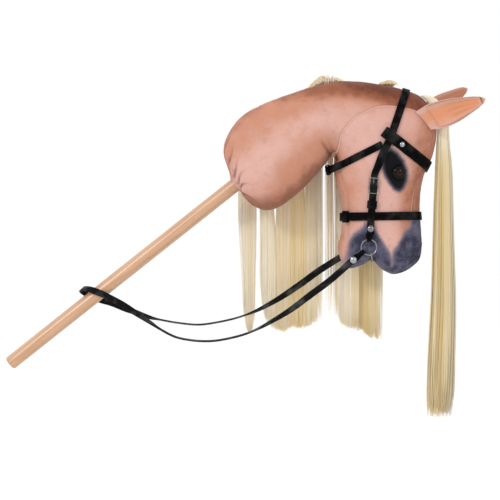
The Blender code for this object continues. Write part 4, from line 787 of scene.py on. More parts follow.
def strands(paths, radius, turns):
    """Flat three-sided threads along the paths (thread, row, xyz), their half breadth given for each thread and row,
    closed at both ends. The breadth lies along x across the path, turned by each thread's own angle."""
    count, rows = paths.shape[:2]
    tangent = unit(np.gradient(paths, axis=1))
    depth = unit(np.cross(tangent, np.array([0.94, 0.1, 0.05])))
    breadth = np.cross(tangent, depth)
    twist = turns[:, None, None]
    breadth, depth = (breadth * np.cos(twist) + depth * np.sin(twist),
                      depth * np.cos(twist) - breadth * np.sin(twist))
    angle = np.where(np.arange(count) % 2, 0, math.pi)[:, None] + np.arange(3) * math.tau / 3
    sine, cosine = np.sin(angle)[:, None, :, None], HAIR_FLATNESS * np.cos(angle)[:, None, :, None]
    points = paths[:, :, None] + (breadth[:, :, None] * sine + depth[:, :, None] * cosine) * radius[..., None, None]
    one = quads(rows, 3, wrap_columns=True)
    start = np.arange(count)[:, None, None] * rows * 3
    ends = np.array([[2, 1, 0], [rows * 3 - 3, rows * 3 - 2, rows * 3 - 1]])
    return points, [(start + one).reshape(-1, 4), (start + ends).reshape(-1, 3)]


def slide(rows, at):
    """Each thread's points at fractional row numbers, straight between neighbouring rows."""
    index = np.clip(np.floor(at).astype(int), 0, rows.shape[1] - 2)
    rest = (at - index)[..., None]
    pick = np.arange(len(rows))[:, None]
    return rows[pick, index] * (1 - rest) + rows[pick, index + 1] * rest


def hair_piece(name, solid, fibre, threads, tones):
    """A piece of threads, each tone given for every thread or for every row of it."""
    points, faces = threads
    marks = {}
    for tone, values in tones.items():
        values = np.clip(values, 0, 1)
        marks[tone] = np.broadcast_to(values.reshape(*values.shape, *[1] * (3 - values.ndim)), points.shape[:3])
    piece(name, points, faces, fibre, "hair", replaces=(solid,), marks=marks, sharp=50)


crest_rows = FORM_GRID[:-4, 0][:, [0, 2]]
CREST = crest_rows[int(np.argmin(crest_rows[:, 0])) : int(np.argmax(crest_rows[:, 0]))]
HAIR = long_fibre("mane_fibre", dye(255, 247, 228), dye(243, 210, 136), dye(250, 245, 233))
T = np.linspace(0, 1, 17) ** 1.35
for number, (name, solid, start, end, root_start, root_end, stand_off, narrow_at, narrow) in enumerate(LOCKS_MM):
    draw = np.random.default_rng(40 + number)
    # The curtain that the hair follows
    coarse = np.array([hair_line(x, SHEET_LOW * MM, stand_off * MM) for x in np.linspace(start, end, 7) * MM])
    sheet = through(through(coarse, 4).swapaxes(0, 1), ROWS_PER_FALL).swapaxes(0, 1)
    # Hanks, and the hairs kept in them
    hanks = max(12, int((end - start) / HANK_STEP_MM))
    hank = np.repeat(np.arange(hanks), HAIRS_PER_HANK)
    hank_u = (np.arange(hanks) + draw.uniform(0.1, 0.9, hanks)) / hanks
    hank_over, hank_sway = draw.uniform(-1, 1, hanks), draw.uniform(0, math.tau, (hanks, 2))
    loose = np.clip(draw.normal(size=(len(hank), 2)), -1.9, 1.9)
    hank_tone, hank_ash = draw.normal(0, 0.15, hanks), draw.normal(0.05, 0.14, hanks)
    hank_short = draw.exponential(4.0, hanks)
    x = start + (end - start) * hank_u[hank] + HANK_SPREAD_MM * loose[:, 0]
    kept = draw.random(len(hank)) < read(CLOSENESS_MM, x)
    hank, loose, x = hank[kept], loose[kept], x[kept].clip(start, end)
    count, u, sway = len(hank), hank_u[hank], hank_sway[hank]
    # Each hair's path down the curtain to its own ragged end
    strip = u * (len(sheet) - 1)
    low = np.clip(np.floor(strip).astype(int), 0, len(sheet) - 2)
    part = (strip - low)[:, None, None]
    widest = sheet[low, SPANS_OVER * ROWS_PER_FALL, 2]
    ragged = draw.exponential(6.0, count) + hank_short[hank] - 4
    hem = (read(HEMLINE_MM, x) + ragged.clip(-4, 30)) * MM
    length = (SPANS_OVER + SPANS_DOWN * (widest - hem) / (widest - SHEET_LOW * MM)) / (SPANS_OVER + SPANS_DOWN)
    at = T[None, :] * length[:, None] * (sheet.shape[1] - 1)
    paths = slide(sheet[low], at) * (1 - part) + slide(sheet[low + 1], at) * part
    # Spread within the hank, sway, narrowing and roots
    gather = np.interp(T, (0, 0.5, 0.85, 1), (1.0, 1.0, 0.95, 0.75))
    slow = HANK_SWAY * np.sin(math.tau * 1.3 * T + sway[:, :1]) * T
    quick = HAIR_SWAY * np.sin(math.tau * 2.6 * T + draw.uniform(0, math.tau, (count, 1))) * T
    paths[..., 0] += loose[:, :1] * HANK_SPREAD_MM * MM * gather + slow + quick
    paths[..., 0] = np.clip(paths[..., 0], (start - 1) * MM, (end + 1) * MM)
    paths[..., 0] += (narrow_at * MM - paths[..., 0]) * narrow * smooth(0.72, 1.05, T)
    root_x = (root_start + (root_end - root_start) * u + ROOT_SPREAD_MM * loose[:, 0]) * MM
    paths[..., 0] += (root_x[:, None] - paths[:, :1, 0]) * np.clip(1 - T / 0.28, 0, 1) ** 1.4
    # Inner and outer hairs, those that stand above the crest, and the partings
    over = np.clip(hank_over[hank] * 0.6 + loose[:, 1] * 0.25, -1, 1)
    paths[..., 1] += over[:, None] * HANK_DEPTH * np.interp(T, (0, 0.25, 1), (0.2, 1, 0.9))
    paths[..., 2] += over[:, None] * CREST_DEPTH * np.clip(1 - T / 0.3, 0, 1)
    stand = read(np.array(CREST_HAIR_MM) * MM, root_x) * (1 - 0.6 * draw.random(count) ** 2)
    higher = (stand + 3 * MM * (stand > 1 * MM))[:, None]
    paths[..., 2] += higher * np.interp(T, (0, 0.022, 0.06, 0.14), (0.45, 1, 0.8, 0))
    paths[..., 1] -= stand[:, None] * 0.9 * np.interp(T, (0, 0.022, 0.1), (0.6, 0.9, 0))
    for parting, closed, open_at, half in PARTINGS_MM:
        away = paths[..., 0] - parting * MM
        opened = smooth(closed * MM, open_at * MM, paths[..., 2]) * smooth(0.06, 0.3, T)
        paths[..., 0] += half * MM * np.sign(away[:, -1:]) * bell(away, PARTING_REACH) * opened
    thick = np.interp(T, (0, 0.05, 0.88, 1), (0.75, 1, 0.85, 0.16))
    threads = strands(paths, draw.uniform(*HALF_BREADTHS_MM, (count, 1)) * MM * thick, draw.normal(0, 0.1, count))
    # Gold at the middle of two locks, a tone and some ash for each hank, painted shade on the hairs that lie behind,
    # and a few darker hairs at random
    gold = 0.16 + (0.6 * bell(x - 252, 32) + 0.75 * bell(x - 378, 26))
    hair_piece(f"mane_hank_{name}", solid, HAIR, threads, {
        "tone": gold + hank_tone[hank] + draw.normal(0, 0.07, count), "ash_and_shade": hank_ash[hank],
        "inner_shade_and_dark_hairs": 0.2 * (over < -0.4) + 0.15 * draw.random(count) ** 3,
    })

band_cloth, tree, shader = new_material("mane_band_tape")
weave = node(tree, "TexWave", {"Vector": node(tree, "TexCoord", out=3), "Scale": 700.0, "Distortion": 1.0})
feed(tree, shader, {"Base Color": mixed(tree, weave, dye(214, 190, 150), dye(190, 164, 122)), "Roughness": 0.9})
redress("mane_band", band_cloth)

# Forelock
# One thick tail of the same fibre, sewn in at the poll between the ears and hanging free in front of the face.

# x, z and breadth of the tail, from the poll down
FORELOCK_MM = (
    (470, 268, 12), (483, 263, 18), (494, 253, 20), (501.5, 240, 17), (508, 218, 19), (509, 188, 21), (510.5, 134, 30),
    (510, 62, 35), (510, -10, 39), (510, -100, 45), (507, -190, 49), (505, -262, 51), (502, -312, 44),
)
FORELOCK_DEPTH = 30 * MM
FORELOCK_HANKS, HAIRS_IN_EACH = 130, 10
FORELOCK_BREADTHS_MM = (0.7, 1.2)

draw = np.random.default_rng(77)
tail = through(FORELOCK_MM, 3) * MM
for row in tail:
    front = FORM.ray_cast(Vector((FAR_AWAY * 2, 0, row[1])), Vector((-1, 0, 0)))[0]
    if front:
        row[0] = max(row[0], front.x + row[2] / 2 + 4 * GAP)
swell = FORELOCK_DEPTH / 2 * np.interp(np.linspace(0, 1, len(tail)), (0, 0.3, 0.8, 1), (0.7, 0.9, 1.0, 0.6))
tail = np.column_stack([tail, swell])
hanks, count = FORELOCK_HANKS, FORELOCK_HANKS * HAIRS_IN_EACH
hank = np.repeat(np.arange(hanks), HAIRS_IN_EACH)
angle, far = draw.uniform(0, math.tau, hanks), np.sqrt(draw.uniform(0.1, 0.85, hanks))
centre_x, centre_y = (np.cos(angle) * far)[hank], (np.sin(angle) * far)[hank]
length = (1.0 - 0.05 * draw.random(hanks) ** 1.5)[hank] * (1 - 0.07 * draw.random(count) ** 1.8)
t = np.linspace(0, 1, 27)
at = t[None, :] * length[:, None] * (len(tail) - 1)
line_x, line_z, breadth, depth = np.moveaxis(slide(np.broadcast_to(tail, (count, *tail.shape)), at), -1, 0)
gather = np.interp(t, (0, 0.5, 0.85, 1), (1, 1, 0.9, 0.7))
loose = np.clip(draw.normal(size=(count, 2)), -1.8, 1.8) * 0.19
sway = draw.uniform(0, math.tau, (hanks, 1))[hank]
reach_x = np.clip(centre_x[:, None] + loose[:, :1] * gather + 0.06 * np.sin(5 * t + sway) * t, -0.97, 0.97)
reach_y = np.clip(centre_y[:, None] + loose[:, 1:] * gather + 0.06 * np.cos(4 * t + sway) * t, -0.97, 0.97)
paths = np.stack([line_x + breadth / 2 * reach_x, depth * reach_y, line_z], axis=-1)
taper = np.interp(t, (0, 0.04, 0.85, 1), (0.6, 1, 0.9, 0.15))
threads = strands(paths, draw.uniform(*FORELOCK_BREADTHS_MM, (count, 1)) * MM * taper, draw.normal(0, 0.12, count))
tone = 0.3 + 0.5 * (1 - np.abs(centre_x)) + draw.normal(0, 0.13, hanks)[hank] + draw.normal(0, 0.1, count)
# Grey on the right side of the tail: partly grey tone, partly painted shade on the side away from the key lamp
ash_and_shade = np.clip(centre_x - 0.05 + draw.normal(0, 0.15, hanks)[hank], 0, 1)
# Painted shade on the hairs inside the tail
inner_shade_and_dark_hairs = np.clip(0.8 - np.hypot(centre_x, centre_y), 0, 1) * 0.4
forelock_fibre = long_fibre("forelock_fibre", dye(255, 245, 220), dye(219, 191, 127), dye(204, 192, 168))
# The tail is pale at the poll and takes its tones on the way down
hair_piece("forelock_tail", "forelock", forelock_fibre, threads, {
    "tone": tone[:, None] * smooth(0.36, 0.56, t) + 0.02, "ash_and_shade": ash_and_shade[:, None] * smooth(0.35, 0.5, t),
    "inner_shade_and_dark_hairs": inner_shade_and_dark_hairs[:, None] * smooth(0.3, 0.5, t),
})

# Headpiece
# A black strap over the poll, behind the ears. Each tail goes down the cheek through its buckle and keeper.

STRAP_THICKNESS = 1.5 * MM
HEADPIECE_TOP_MM = (443, 278)
HEADPIECE_SIDE_MM = (411, 187)
HEADPIECE_TAIL_MM = ((404, 173), (397, 158), (391.5, 143))
RUN_MIDDLE_MM = (381.5, 88)
RUN_SLOPE = (0.092, 0.996)
BUCKLE_AT = 17 * MM
BUCKLE_WIRE = 1.8 * MM
TONGUE_WIRE = 1.3 * MM
BAR_OUT = 2.9 * MM
TURN_THICKNESS = 0.9 * MM
TAIL_END = -27 * MM
# Width over the poll and in the buckle, the heights between which it narrows, and the last rows of the pointed end
POLL_WIDTH = 14 * MM
TAIL_WIDTH = 12.5 * MM
NARROWS_BETWEEN = (0.125, 0.15)
TAIL_POINT_MM = (12.5, 10.5, 5.5)
# Between the rows of a strap's path after it is put at even steps
PATH_STEP = 8 * MM
LOW = GAP + STRAP_THICKNESS / 2
STEP = STRAP_THICKNESS + GAP


def strap_leather(name, shine):
    """Black coated leather: a pebbled grain, dull flats polished in places, and a little grey where edges rub."""
    material, tree, shader = new_material(name)
    place = node(tree, "TexCoord", out=3)
    pebble = node(tree, "TexVoronoi", {"Vector": place, "Scale": 1100.0}, out=0)
    dust = noise(tree, place, 160.0, 5.0)
    black = layered(tree, mixed(tree, ramp(tree, dust, 0.35, 0.75), dye(2, 2, 3), dye(9, 9, 11)),
                    (times(tree, mark(tree, "rub"), 0.3), dye(34, 33, 36)))
    polish = node(tree, "MapRange", {"Value": noise(tree, place, 42.0), "From Min": 0.47, "From Max": 0.7,
                                     "To Min": shine * 0.7, "To Max": shine * 5})
    feed(tree, shader, {"Base Color": black, "Roughness": between(tree, dust, 0.4, 0.62),
                        "Normal": bumps(tree, pebble, 0.35, 0.0003), "Specular IOR Level": polish})
    return material


LEATHER = strap_leather("black_strap_leather", 0.06)


def heading(line, closed=False):
    """The way that a line runs at each of its points, from the point's neighbours."""
    return unit(np.roll(line, -1, axis=0) - np.roll(line, 1, axis=0) if closed else np.gradient(line, axis=0))


def strap_section():
    """Half of a strap's cross-section and its mirror: half-round edges and a creased line 1.6 mm in. The columns are
    the side, the set-in in half thicknesses and in metres, the height in half thicknesses and in metres, and wear."""
    arc = np.radians(np.linspace(-90, 90, 7))
    right = [(1, -1 + math.cos(a), 0, math.sin(a), 0, 0.5 + 0.5 * math.cos(a)) for a in arc]
    right += [(1, 0, -1.3 * MM, 1, 0, 0.2), (1, 0, -1.6 * MM, 1, -0.2 * MM, 0), (1, 0, -1.9 * MM, 1, 0, 0.4)]
    left = [(-row[0], *row[1:]) for row in right[::-1]]
    return np.array([*right, (0, 0, 0, 1, 0.05 * MM, 0), *left, (0, 0, 0, -1, 0, 0)])


def strap(name, points, ups, width, replaces, thickness=STRAP_THICKNESS, closed=False, body="horse", per_span=4,
          material=LEATHER):
    """The strap's cross-section carried along a smooth path through the points, with its face turned to ups."""
    width = np.broadcast_to(np.asarray(width, float), len(points))
    thickness = np.broadcast_to(np.asarray(thickness, float), len(points))
    rows = np.column_stack([points, ups, width, thickness])
    if closed:
        rows = through(np.vstack([rows[-2:], rows, rows[:2]]), per_span)[2 * per_span : -2 * per_span]
    else:
        rows = through(rows, per_span)
    line = rows[:, :3]
    tangent = heading(line, closed)
    across = unit(np.cross(tangent, rows[:, 3:6]))
    out = np.cross(across, tangent)
    side, in_thick, in_mm, high, high_mm, rub = strap_section().T
    half, rise = rows[:, 6:7] / 2, rows[:, 7:8] / 2
    u = side * (half + in_thick * rise + in_mm)
    v = high * rise + high_mm
    grid = line[:, None] + across[:, None] * u[..., None] + out[:, None] * v[..., None]
    faces = [quads(len(grid), grid.shape[1], wrap_rows=True, wrap_columns=True)] if closed else closed_tube(grid)
    marks = {"rub": np.broadcast_to(rub, grid.shape[:2])}
    return piece(name, grid, faces, material, "strap_leather", body, replaces, marks)


def frame_on(origin, out, along):
    """Axes at origin: local Z along out, local Y as near along as it can be, local X across."""
    z = Vector(out).normalized()
    x = Vector(along).cross(z).normalized()
    matrix = Matrix((x, z.cross(x), z)).transposed().to_4x4()
    matrix.translation = origin
    return matrix


def lay_on_side(path_mm, lifts, side=-1):
    """Points standing off the head's side above a path in the side view, and their outward directions."""
    found = [on_side(x * MM, z * MM, side) for x, z in path_mm]
    ups = unit([normal for _, normal in found])
    return np.array([point for point, _ in found]) + ups * np.asarray(lifts)[:, None], ups


def round_from(centre, towards, angles, lifts):
    """Points round the head in the plane of Y and towards, seen from a centre inside it. Angle 0 is towards."""
    centre = Vector((centre[0] * MM, 0, centre[1] * MM))
    forward = (Vector((towards[0] * MM, 0, towards[1] * MM)) - centre).normalized()
    points, ups = [], []
    for angle in angles:
        ray = forward * math.cos(angle) + Vector((0, math.sin(angle), 0))
        point, normal = FORM.ray_cast(centre, ray)[:2]
        points.append(point)
        ups.append(normal if normal.dot(ray) > 0 else -normal)
    ups = unit(ups)
    return np.array(points) + ups * np.asarray(lifts)[:, None], ups


def resample(points, ups, spacing):
    """The same path at even steps."""
    reach = np.concatenate([[0], np.cumsum(np.linalg.norm(np.diff(points, axis=0), axis=1))])
    at = np.linspace(0, reach[-1], max(2, round(reach[-1] / spacing) + 1))
    points, ups = (np.column_stack([np.interp(at, reach, column) for column in part.T]) for part in (points, ups))
    return points, unit(ups)


def both_halves(points, ups):
    """A path that starts on the middle plane, carried on to the far side as its mirror image."""
    mirror = np.array([1, -1, 1])
    return np.vstack([(points * mirror)[:0:-1], points]), np.vstack([(ups * mirror)[:0:-1], ups])


def placed(rows, place):
    """Rows of local points, or of along and out alone, put in the frame given by a placing matrix."""
    rows, matrix = np.asarray(rows, float), np.array(place)
    rows = np.column_stack([np.zeros((len(rows), 3 - rows.shape[1])), rows])
    return rows @ matrix[:3, :3].T + matrix[:3, 3]


RUN = frame_on(*on_side(RUN_MIDDLE_MM[0] * MM, RUN_MIDDLE_MM[1] * MM), (RUN_SLOPE[0], 0, RUN_SLOPE[1]))
RUN_ACROSS, RUN_OUT = (np.array(RUN.to_3x3().col[k]) for k in (0, 2))

angles = np.radians(np.linspace(0, -90, 14))
lifts = np.interp(-angles, np.radians((0, 42, 64)), (LOW + GAP, LOW + GAP, LOW + STEP + GAP))
top, top_ups = round_from(HEADPIECE_SIDE_MM, HEADPIECE_TOP_MM, angles, lifts)
side, side_ups = lay_on_side(HEADPIECE_TAIL_MM, [LOW + STEP + GAP, LOW + STEP, LOW + STEP])
at, low = BUCKLE_AT, LOW + STEP
bar_top = BAR_OUT + BUCKLE_WIRE / 2 + 0.25 * MM + TURN_THICKNESS + GAP + STRAP_THICKNESS / 2
over_keeper = low + STEP + 1.4 * GAP
# How far up the cheek and how far out: down to the buckle, over its bar, under its end and through the keeper
run = placed((
    (at + 20 * MM, low), (at + 13.5 * MM, low), (at + 8 * MM, low + 1.1 * MM), (at + 3 * MM, bar_top - 0.2 * MM),
    (at, bar_top), (at - 3 * MM, bar_top), (at - 8 * MM, low + 1.3 * MM), (at - 13.6 * MM, low + 0.1 * MM),
    (at - 16 * MM, low + 1.1 * MM), (at - 19.5 * MM, over_keeper), (TAIL_END + 4 * MM, over_keeper),
    (TAIL_END + 2 * MM, over_keeper), (TAIL_END, over_keeper),
), RUN)
points = np.vstack([top, side, run])
ups = np.vstack([top_ups, side_ups, np.tile(RUN_OUT, (len(run), 1))])
# The upper part at even steps, and the tail drawn in to its end
cheek = int(np.argmax(points[:, 2] < run[0, 2] + 1 * MM))
upper, upper_ups = resample(points[:cheek], ups[:cheek], PATH_STEP)
points, ups = np.vstack([upper, points[cheek:]]), np.vstack([upper_ups, ups[cheek:]])
width = np.interp(points[:, 2], NARROWS_BETWEEN, (TAIL_WIDTH, POLL_WIDTH))
width[-3:] = np.array(TAIL_POINT_MM) * MM
points, ups = both_halves(points, ups)
strap("poll_strap", points, ups, np.concatenate([width[:0:-1], width]), ("headpiece",))

# Bit rings, cheekpieces and their rivets
# Each cheekpiece is one strap: turned round the buckle's middle bar, down over the noseband, round the loose bit
# ring and back up behind itself, where a domed rivet closes it.

RING_RADIUS = 13.8 * MM
RING_WIRE = 2.4 * MM
RING_PLAY = 0.35 * MM
RIVET_BACK = 0.9 * MM
RIVET_SHANK = 1.5 * MM
# A domed cap's height and its dome's breadth, as shares of the cap's diameter and radius
CAP_HEIGHT, CAP_DOME = 0.22, 0.94
RING_CENTRE_MM = (374, -5)
CHEEK_RIVET_MM = (377, 28)
CHEEK_STRAP_DOWN_MM = ((378.3, 52), (377.9, 45))
RING_LOOP_WIDTH = 9 * MM
CHEEK_WIDTH = 13 * MM
STUD_CAP = 12 * MM
PLY_OUT = RING_WIRE / 2 + RING_PLAY + STRAP_THICKNESS / 2


def ring_side():
    """The Y of the near ring's plane: outside the head by the strap's inner ply and its clearances."""
    x, z = RING_CENTRE_MM[0] * MM, RING_CENTRE_MM[1] * MM
    # Round the ring, and down both edges of the cheekpiece above it
    spots = [(x + RING_RADIUS * math.cos(a), z + RING_RADIUS * math.sin(a)) for a in np.linspace(0, math.tau, 24)]
    spots += [(x + dx, z + dz) for dx in (-5 * MM, 9 * MM) for dz in (18 * MM, 33 * MM, 42 * MM)]
    found = [FORM.ray_cast(Vector((px, -FAR_AWAY, pz)), Vector((0, 1, 0)))[0] for px, pz in spots]
    return min(hit.y for hit in found if hit) - GAP - RIVET_BACK - GAP - STRAP_THICKNESS - RING_PLAY - RING_WIRE / 2


RING_PLANE = ring_side()


def ring_point(side=-1, angle=0, distance=0):
    """The middle of the near or far ring, or a point in its plane out from there at an angle."""
    centre = np.array([RING_CENTRE_MM[0] * MM, side * -RING_PLANE, RING_CENTRE_MM[1] * MM])
    return centre + np.array([math.cos(angle), 0, math.sin(angle)]) * distance


def ring_fold(angle, side, reach):
    """A strap's way out to the ring at an angle from its centre, round the wire and back: front ply first."""
    distance = math.sqrt(RING_RADIUS**2 - (RING_LOOP_WIDTH / 2) ** 2)
    turns = np.radians(np.linspace(90, -90, 7))
    steps = [(reach, 1.0), *[(distance - PLY_OUT * math.cos(a), math.sin(a)) for a in turns], (reach, -1.0)]
    return np.array([ring_point(side, angle, d) + np.array([0, side * PLY_OUT * w, 0]) for d, w in steps])


def plated_steel(name, tint, rough):
    """Bright plating: fine scratches and smudges break up the gloss."""
    material, tree, shader = new_material(name)
    smudge = noise(tree, node(tree, "TexCoord", out=3), 220.0, 6.0, 0.7)
    dull = (*(0.78 * part for part in tint[:3]), 1.0)
    feed(tree, shader, {"Base Color": mixed(tree, ramp(tree, smudge, 0.45, 0.8), tint, dull), "Metallic": 1.0,
                        "Roughness": between(tree, smudge, rough, rough + 0.16)})
    return material


STEEL = plated_steel("bright_plating", dye(180, 180, 184), 0.06)
# The same bright plating in darker tints, as painted shade for the dark surroundings its reflections show: darkest on
# the cheek studs, a little darker on the wires
STEEL_DIMMED_FOR_REFLECTIONS = plated_steel("plating_dimmed_for_dark_reflections", dye(140, 140, 146), 0.05)
WIRE_DIMMED_FOR_REFLECTIONS = plated_steel("wire_plating_dimmed_for_dark_reflections", dye(154, 154, 158), 0.05)


def wire(name, path, diameter, flat, replaces, closed=False, body="horse", columns=16):
    """A round wire: circles carried along the path, set out from a direction that lies across it all the way."""
    path = np.asarray(path, float)
    tangent = heading(path, closed)
    first = unit(np.cross(tangent, flat))
    second = np.cross(tangent, first)
    angle = np.arange(columns) * math.tau / columns
    around = first[:, None] * np.cos(angle)[:, None] + second[:, None] * np.sin(angle)[:, None]
    grid = path[:, None] + around * diameter / 2
    faces = [quads(len(grid), columns, wrap_rows=True, wrap_columns=True)] if closed else closed_tube(grid)
    # Wires take the plating dimmed as painted shade in their reflections
    return piece(name, grid, faces, WIRE_DIMMED_FOR_REFLECTIONS, "bright_steel", body, replaces, {}, None if closed else 60)


def mirror_far(made, name, body, *replaces):
    """The far side's copy of a near piece, mirrored across the middle plane, faces turned back outwards."""
    mesh = made.data.copy()
    mesh.transform(Matrix.Diagonal((1, -1, 1, 1)))
    mesh.flip_normals()
    twin = bpy.data.objects.new(name, mesh)
    bpy.context.scene.collection.objects.link(twin)
    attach(twin, body)
    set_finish(twin, made["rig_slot"])
    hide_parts(*replaces)
    return twin


def rivet(name, centre, out, back, front, diameter, replaces, material):
    """A domed cap with a rolled rim on a shank, closed by a flat head behind the leather."""
    head, shank, height = diameter / 2, RIVET_SHANK, CAP_HEIGHT * diameter
    arc = np.radians(np.linspace(2, 90, 14))
    dome = [(head * CAP_DOME * math.sin(a), front + 0.25 * MM + (height - 0.25 * MM) * math.cos(a)) for a in arc]
    rim = [(head, front + 0.2 * MM), (head, front + 0.02 * MM)]
    foot = [(shank, front + 0.02 * MM), (shank, back), (head * 0.7, back), (head * 0.7, back - RIVET_BACK)]
    side = unit(np.cross((0.1, 0.2, 1), out))
    grid = turned([*dome, *rim, *foot], centre, unit(out), side, 40)
    return piece(name, grid, closed_tube(grid), material, "bright_steel", "horse", replaces, {}, 50)


ring_centre = ring_point()
turns = np.arange(96) * math.tau / 96
circle = ring_centre + RING_RADIUS * np.column_stack([np.cos(turns), 0 * turns, np.sin(turns)])
near_ring = wire("loose_ring_near", circle, RING_WIRE, (0, 1, 0), ("bit_ring_near",), True, "near_bit_ring", 20)
mirror_far(near_ring, "loose_ring_far", "far_bit_ring", "bit_ring_far")

radius = BUCKLE_WIRE / 2 + 0.25 * MM + TURN_THICKNESS / 2
under = LOW + STEP + GAP
# The same two distances: from the turned end, round the bar and down through the buckle and the keeper
inner = LOW + STRAP_THICKNESS / 2 + GAP + TURN_THICKNESS / 2 + 0.15 * MM
round_bar = np.radians((100, 70, 40, 10, -20, -50, -80))
run = placed([
    (at - 8.5 * MM, inner), (at - 5.5 * MM, BAR_OUT + 0.3 * MM), (at - 2.6 * MM, BAR_OUT + radius * 0.93),
    *[(at + radius * math.cos(a), BAR_OUT + radius * math.sin(a)) for a in round_bar],
    (at - 3 * MM, LOW + 0.2 * MM), (at - 6 * MM, LOW), (at - 14 * MM, LOW), (at - 16 * MM, LOW + 0.4 * MM),
    (at - 19.5 * MM, under), (-8 * MM, under), (-16 * MM, under), (TAIL_END, under),
], RUN)
down, down_ups = lay_on_side(CHEEK_STRAP_DOWN_MM, [under + GAP, under + GAP])
rivet_x, rivet_z = CHEEK_RIVET_MM[0] * MM, CHEEK_RIVET_MM[1] * MM
front = [(rivet_x, RING_PLANE - PLY_OUT, z) for z in (rivet_z + 6 * MM, rivet_z, rivet_z - 6 * MM)]
back = [(rivet_x, RING_PLANE + PLY_OUT, z) for z in (rivet_z - 6 * MM, rivet_z, rivet_z + 6 * MM)]
fold = ring_fold(math.radians(88), -1, 20 * MM)
lower = np.vstack([front, fold, back])
points = np.vstack([run, down, lower])
across = np.vstack([
    np.tile(RUN_ACROSS, (len(run), 1)), unit(np.cross((RUN_SLOPE[0], 0, RUN_SLOPE[1]), down_ups)),
    np.tile((1.0, 0, 0), (len(lower), 1)),
])
thickness = np.full(len(points), STRAP_THICKNESS)
thickness[:10] = TURN_THICKNESS
thickness[10] = (TURN_THICKNESS + STRAP_THICKNESS) / 2
width = np.full(len(points), CHEEK_WIDTH)
width[-len(fold) - 2 : -4] = RING_LOOP_WIDTH
ups = np.cross(across, heading(points))
near = strap("cheek_strap_near", points, ups, width, ("cheekpiece_near",), thickness)
mirror_far(near, "cheek_strap_far", "horse", "cheekpiece_far")
reach = PLY_OUT + STRAP_THICKNESS / 2 + GAP / 2
# The cheek studs take the plating dimmed as painted shade in their reflections
near = rivet("cheek_stud_near", (rivet_x, RING_PLANE, rivet_z), (0, -1, 0), -reach, reach, STUD_CAP,
             ("cheek_rivet_near",), STEEL_DIMMED_FOR_REFLECTIONS)
mirror_far(near, "cheek_stud_far", "horse", "cheek_rivet_far")

# Cheek buckles, tongues and keepers
# A bowed double buckle of bright wire on each cheek, a wire tongue hooked on its middle bar, and below it a
# leather keeper that slides on the two plies.

BUCKLE_HALF_LENGTH = 13.6 * MM
BUCKLE_HALF_WIDTH = 8.2 * MM
BUCKLE_CORNER = 2.5 * MM
KEEPER_AT = -17 * MM
KEEPER_CLEARANCE = 0.6 * MM
KEEPER_WALL = 1.5 * MM
KEEPER_BEND = 1.2 * MM
KEEPER_LENGTH = 14 * MM

wide, tall, corner = BUCKLE_HALF_WIDTH, BUCKLE_HALF_LENGTH, BUCKLE_CORNER
end_out = LOW + STEP + STRAP_THICKNESS / 2 + GAP + BUCKLE_WIRE / 2 + 0.5 * MM
bend = np.radians(np.linspace(12, 90, 8))
quarter = [*[(wide, y) for y in np.linspace(0, tall - corner, 12)],
           *[(wide - corner + corner * math.cos(a), tall - corner + corner * math.sin(a)) for a in bend],
           *[(x, tall) for x in np.linspace(wide - corner, 0, 6)[1:]]]
half = [*quarter, *[(-x, y) for x, y in quarter[-2::-1]]]
outline = np.array([*half, *[(x, -y) for x, y in half[-2:0:-1]]])
bow = BAR_OUT + (end_out - BAR_OUT) * (np.abs(outline[:, 1]) / tall) ** 1.5
local = np.column_stack([outline[:, 0], BUCKLE_AT + outline[:, 1], bow])
near = wire("double_buckle_near", placed(local, RUN), BUCKLE_WIRE, RUN_OUT, ("buckle_near",), True)
mirror_far(near, "double_buckle_far", "horse", "buckle_far")
bar = placed([(-wide, BUCKLE_AT, BAR_OUT), (0, BUCKLE_AT, BAR_OUT), (wide, BUCKLE_AT, BAR_OUT)], RUN)
near = wire("buckle_bar_near", bar, BUCKLE_WIRE * 0.96, RUN_OUT, ("buckle_near",))
mirror_far(near, "buckle_bar_far", "horse", "buckle_far")
loop = BUCKLE_WIRE / 2 + 0.2 * MM + TONGUE_WIRE / 2
tip_out = end_out + BUCKLE_WIRE / 2 + TONGUE_WIRE / 2 + 0.15 * MM - BAR_OUT
hook = [(0, loop * math.cos(a), loop * math.sin(a)) for a in np.radians(np.linspace(345, 90, 26))]
reach = through([hook[-1], (0, tall * 0.5, loop + (tip_out - loop) * 0.5), (0, tall + 1.5 * MM, tip_out + 0.1 * MM)], 6)
pivot = RUN @ Matrix.Translation((0, BUCKLE_AT, BAR_OUT))
near = wire("buckle_pin_near", placed([*hook, *reach[1:]], pivot), TONGUE_WIRE, RUN_ACROSS, ("buckle_tongue_near",),
            body="near_buckle_tongue")
mirror_far(near, "buckle_pin_far", "far_buckle_tongue", "buckle_tongue_far")


def keeper(name, place, inner_width, inner_height, length, body, replaces):
    """A loop of strap bent round a rounded rectangle, its back wall on the local plane Z = 0."""
    half, rise, bend = inner_width / 2 + KEEPER_WALL / 2, inner_height / 2 + KEEPER_WALL / 2, KEEPER_BEND
    arc = np.radians(np.linspace(0, 90, 5))
    corner = np.column_stack([half - bend + bend * np.cos(arc), rise - bend + bend * np.sin(arc)])
    side = np.vstack([corner, [(half * 0.5, rise), (0, rise)]])
    top = np.vstack([side, (side[:-1] * (-1, 1))[::-1]])
    path = np.vstack([top, -top])
    around = heading(path, closed=True)
    local = np.column_stack([path[:, 0], 0 * path[:, 0], path[:, 1] + rise + KEEPER_WALL / 2])
    facing = np.column_stack([around[:, 1], 0 * path[:, 0], -around[:, 0]])
    turn = np.array(place)[:3, :3]
    return strap(name, placed(local, place), facing @ turn.T, length, replaces, KEEPER_WALL, True, body, 2)


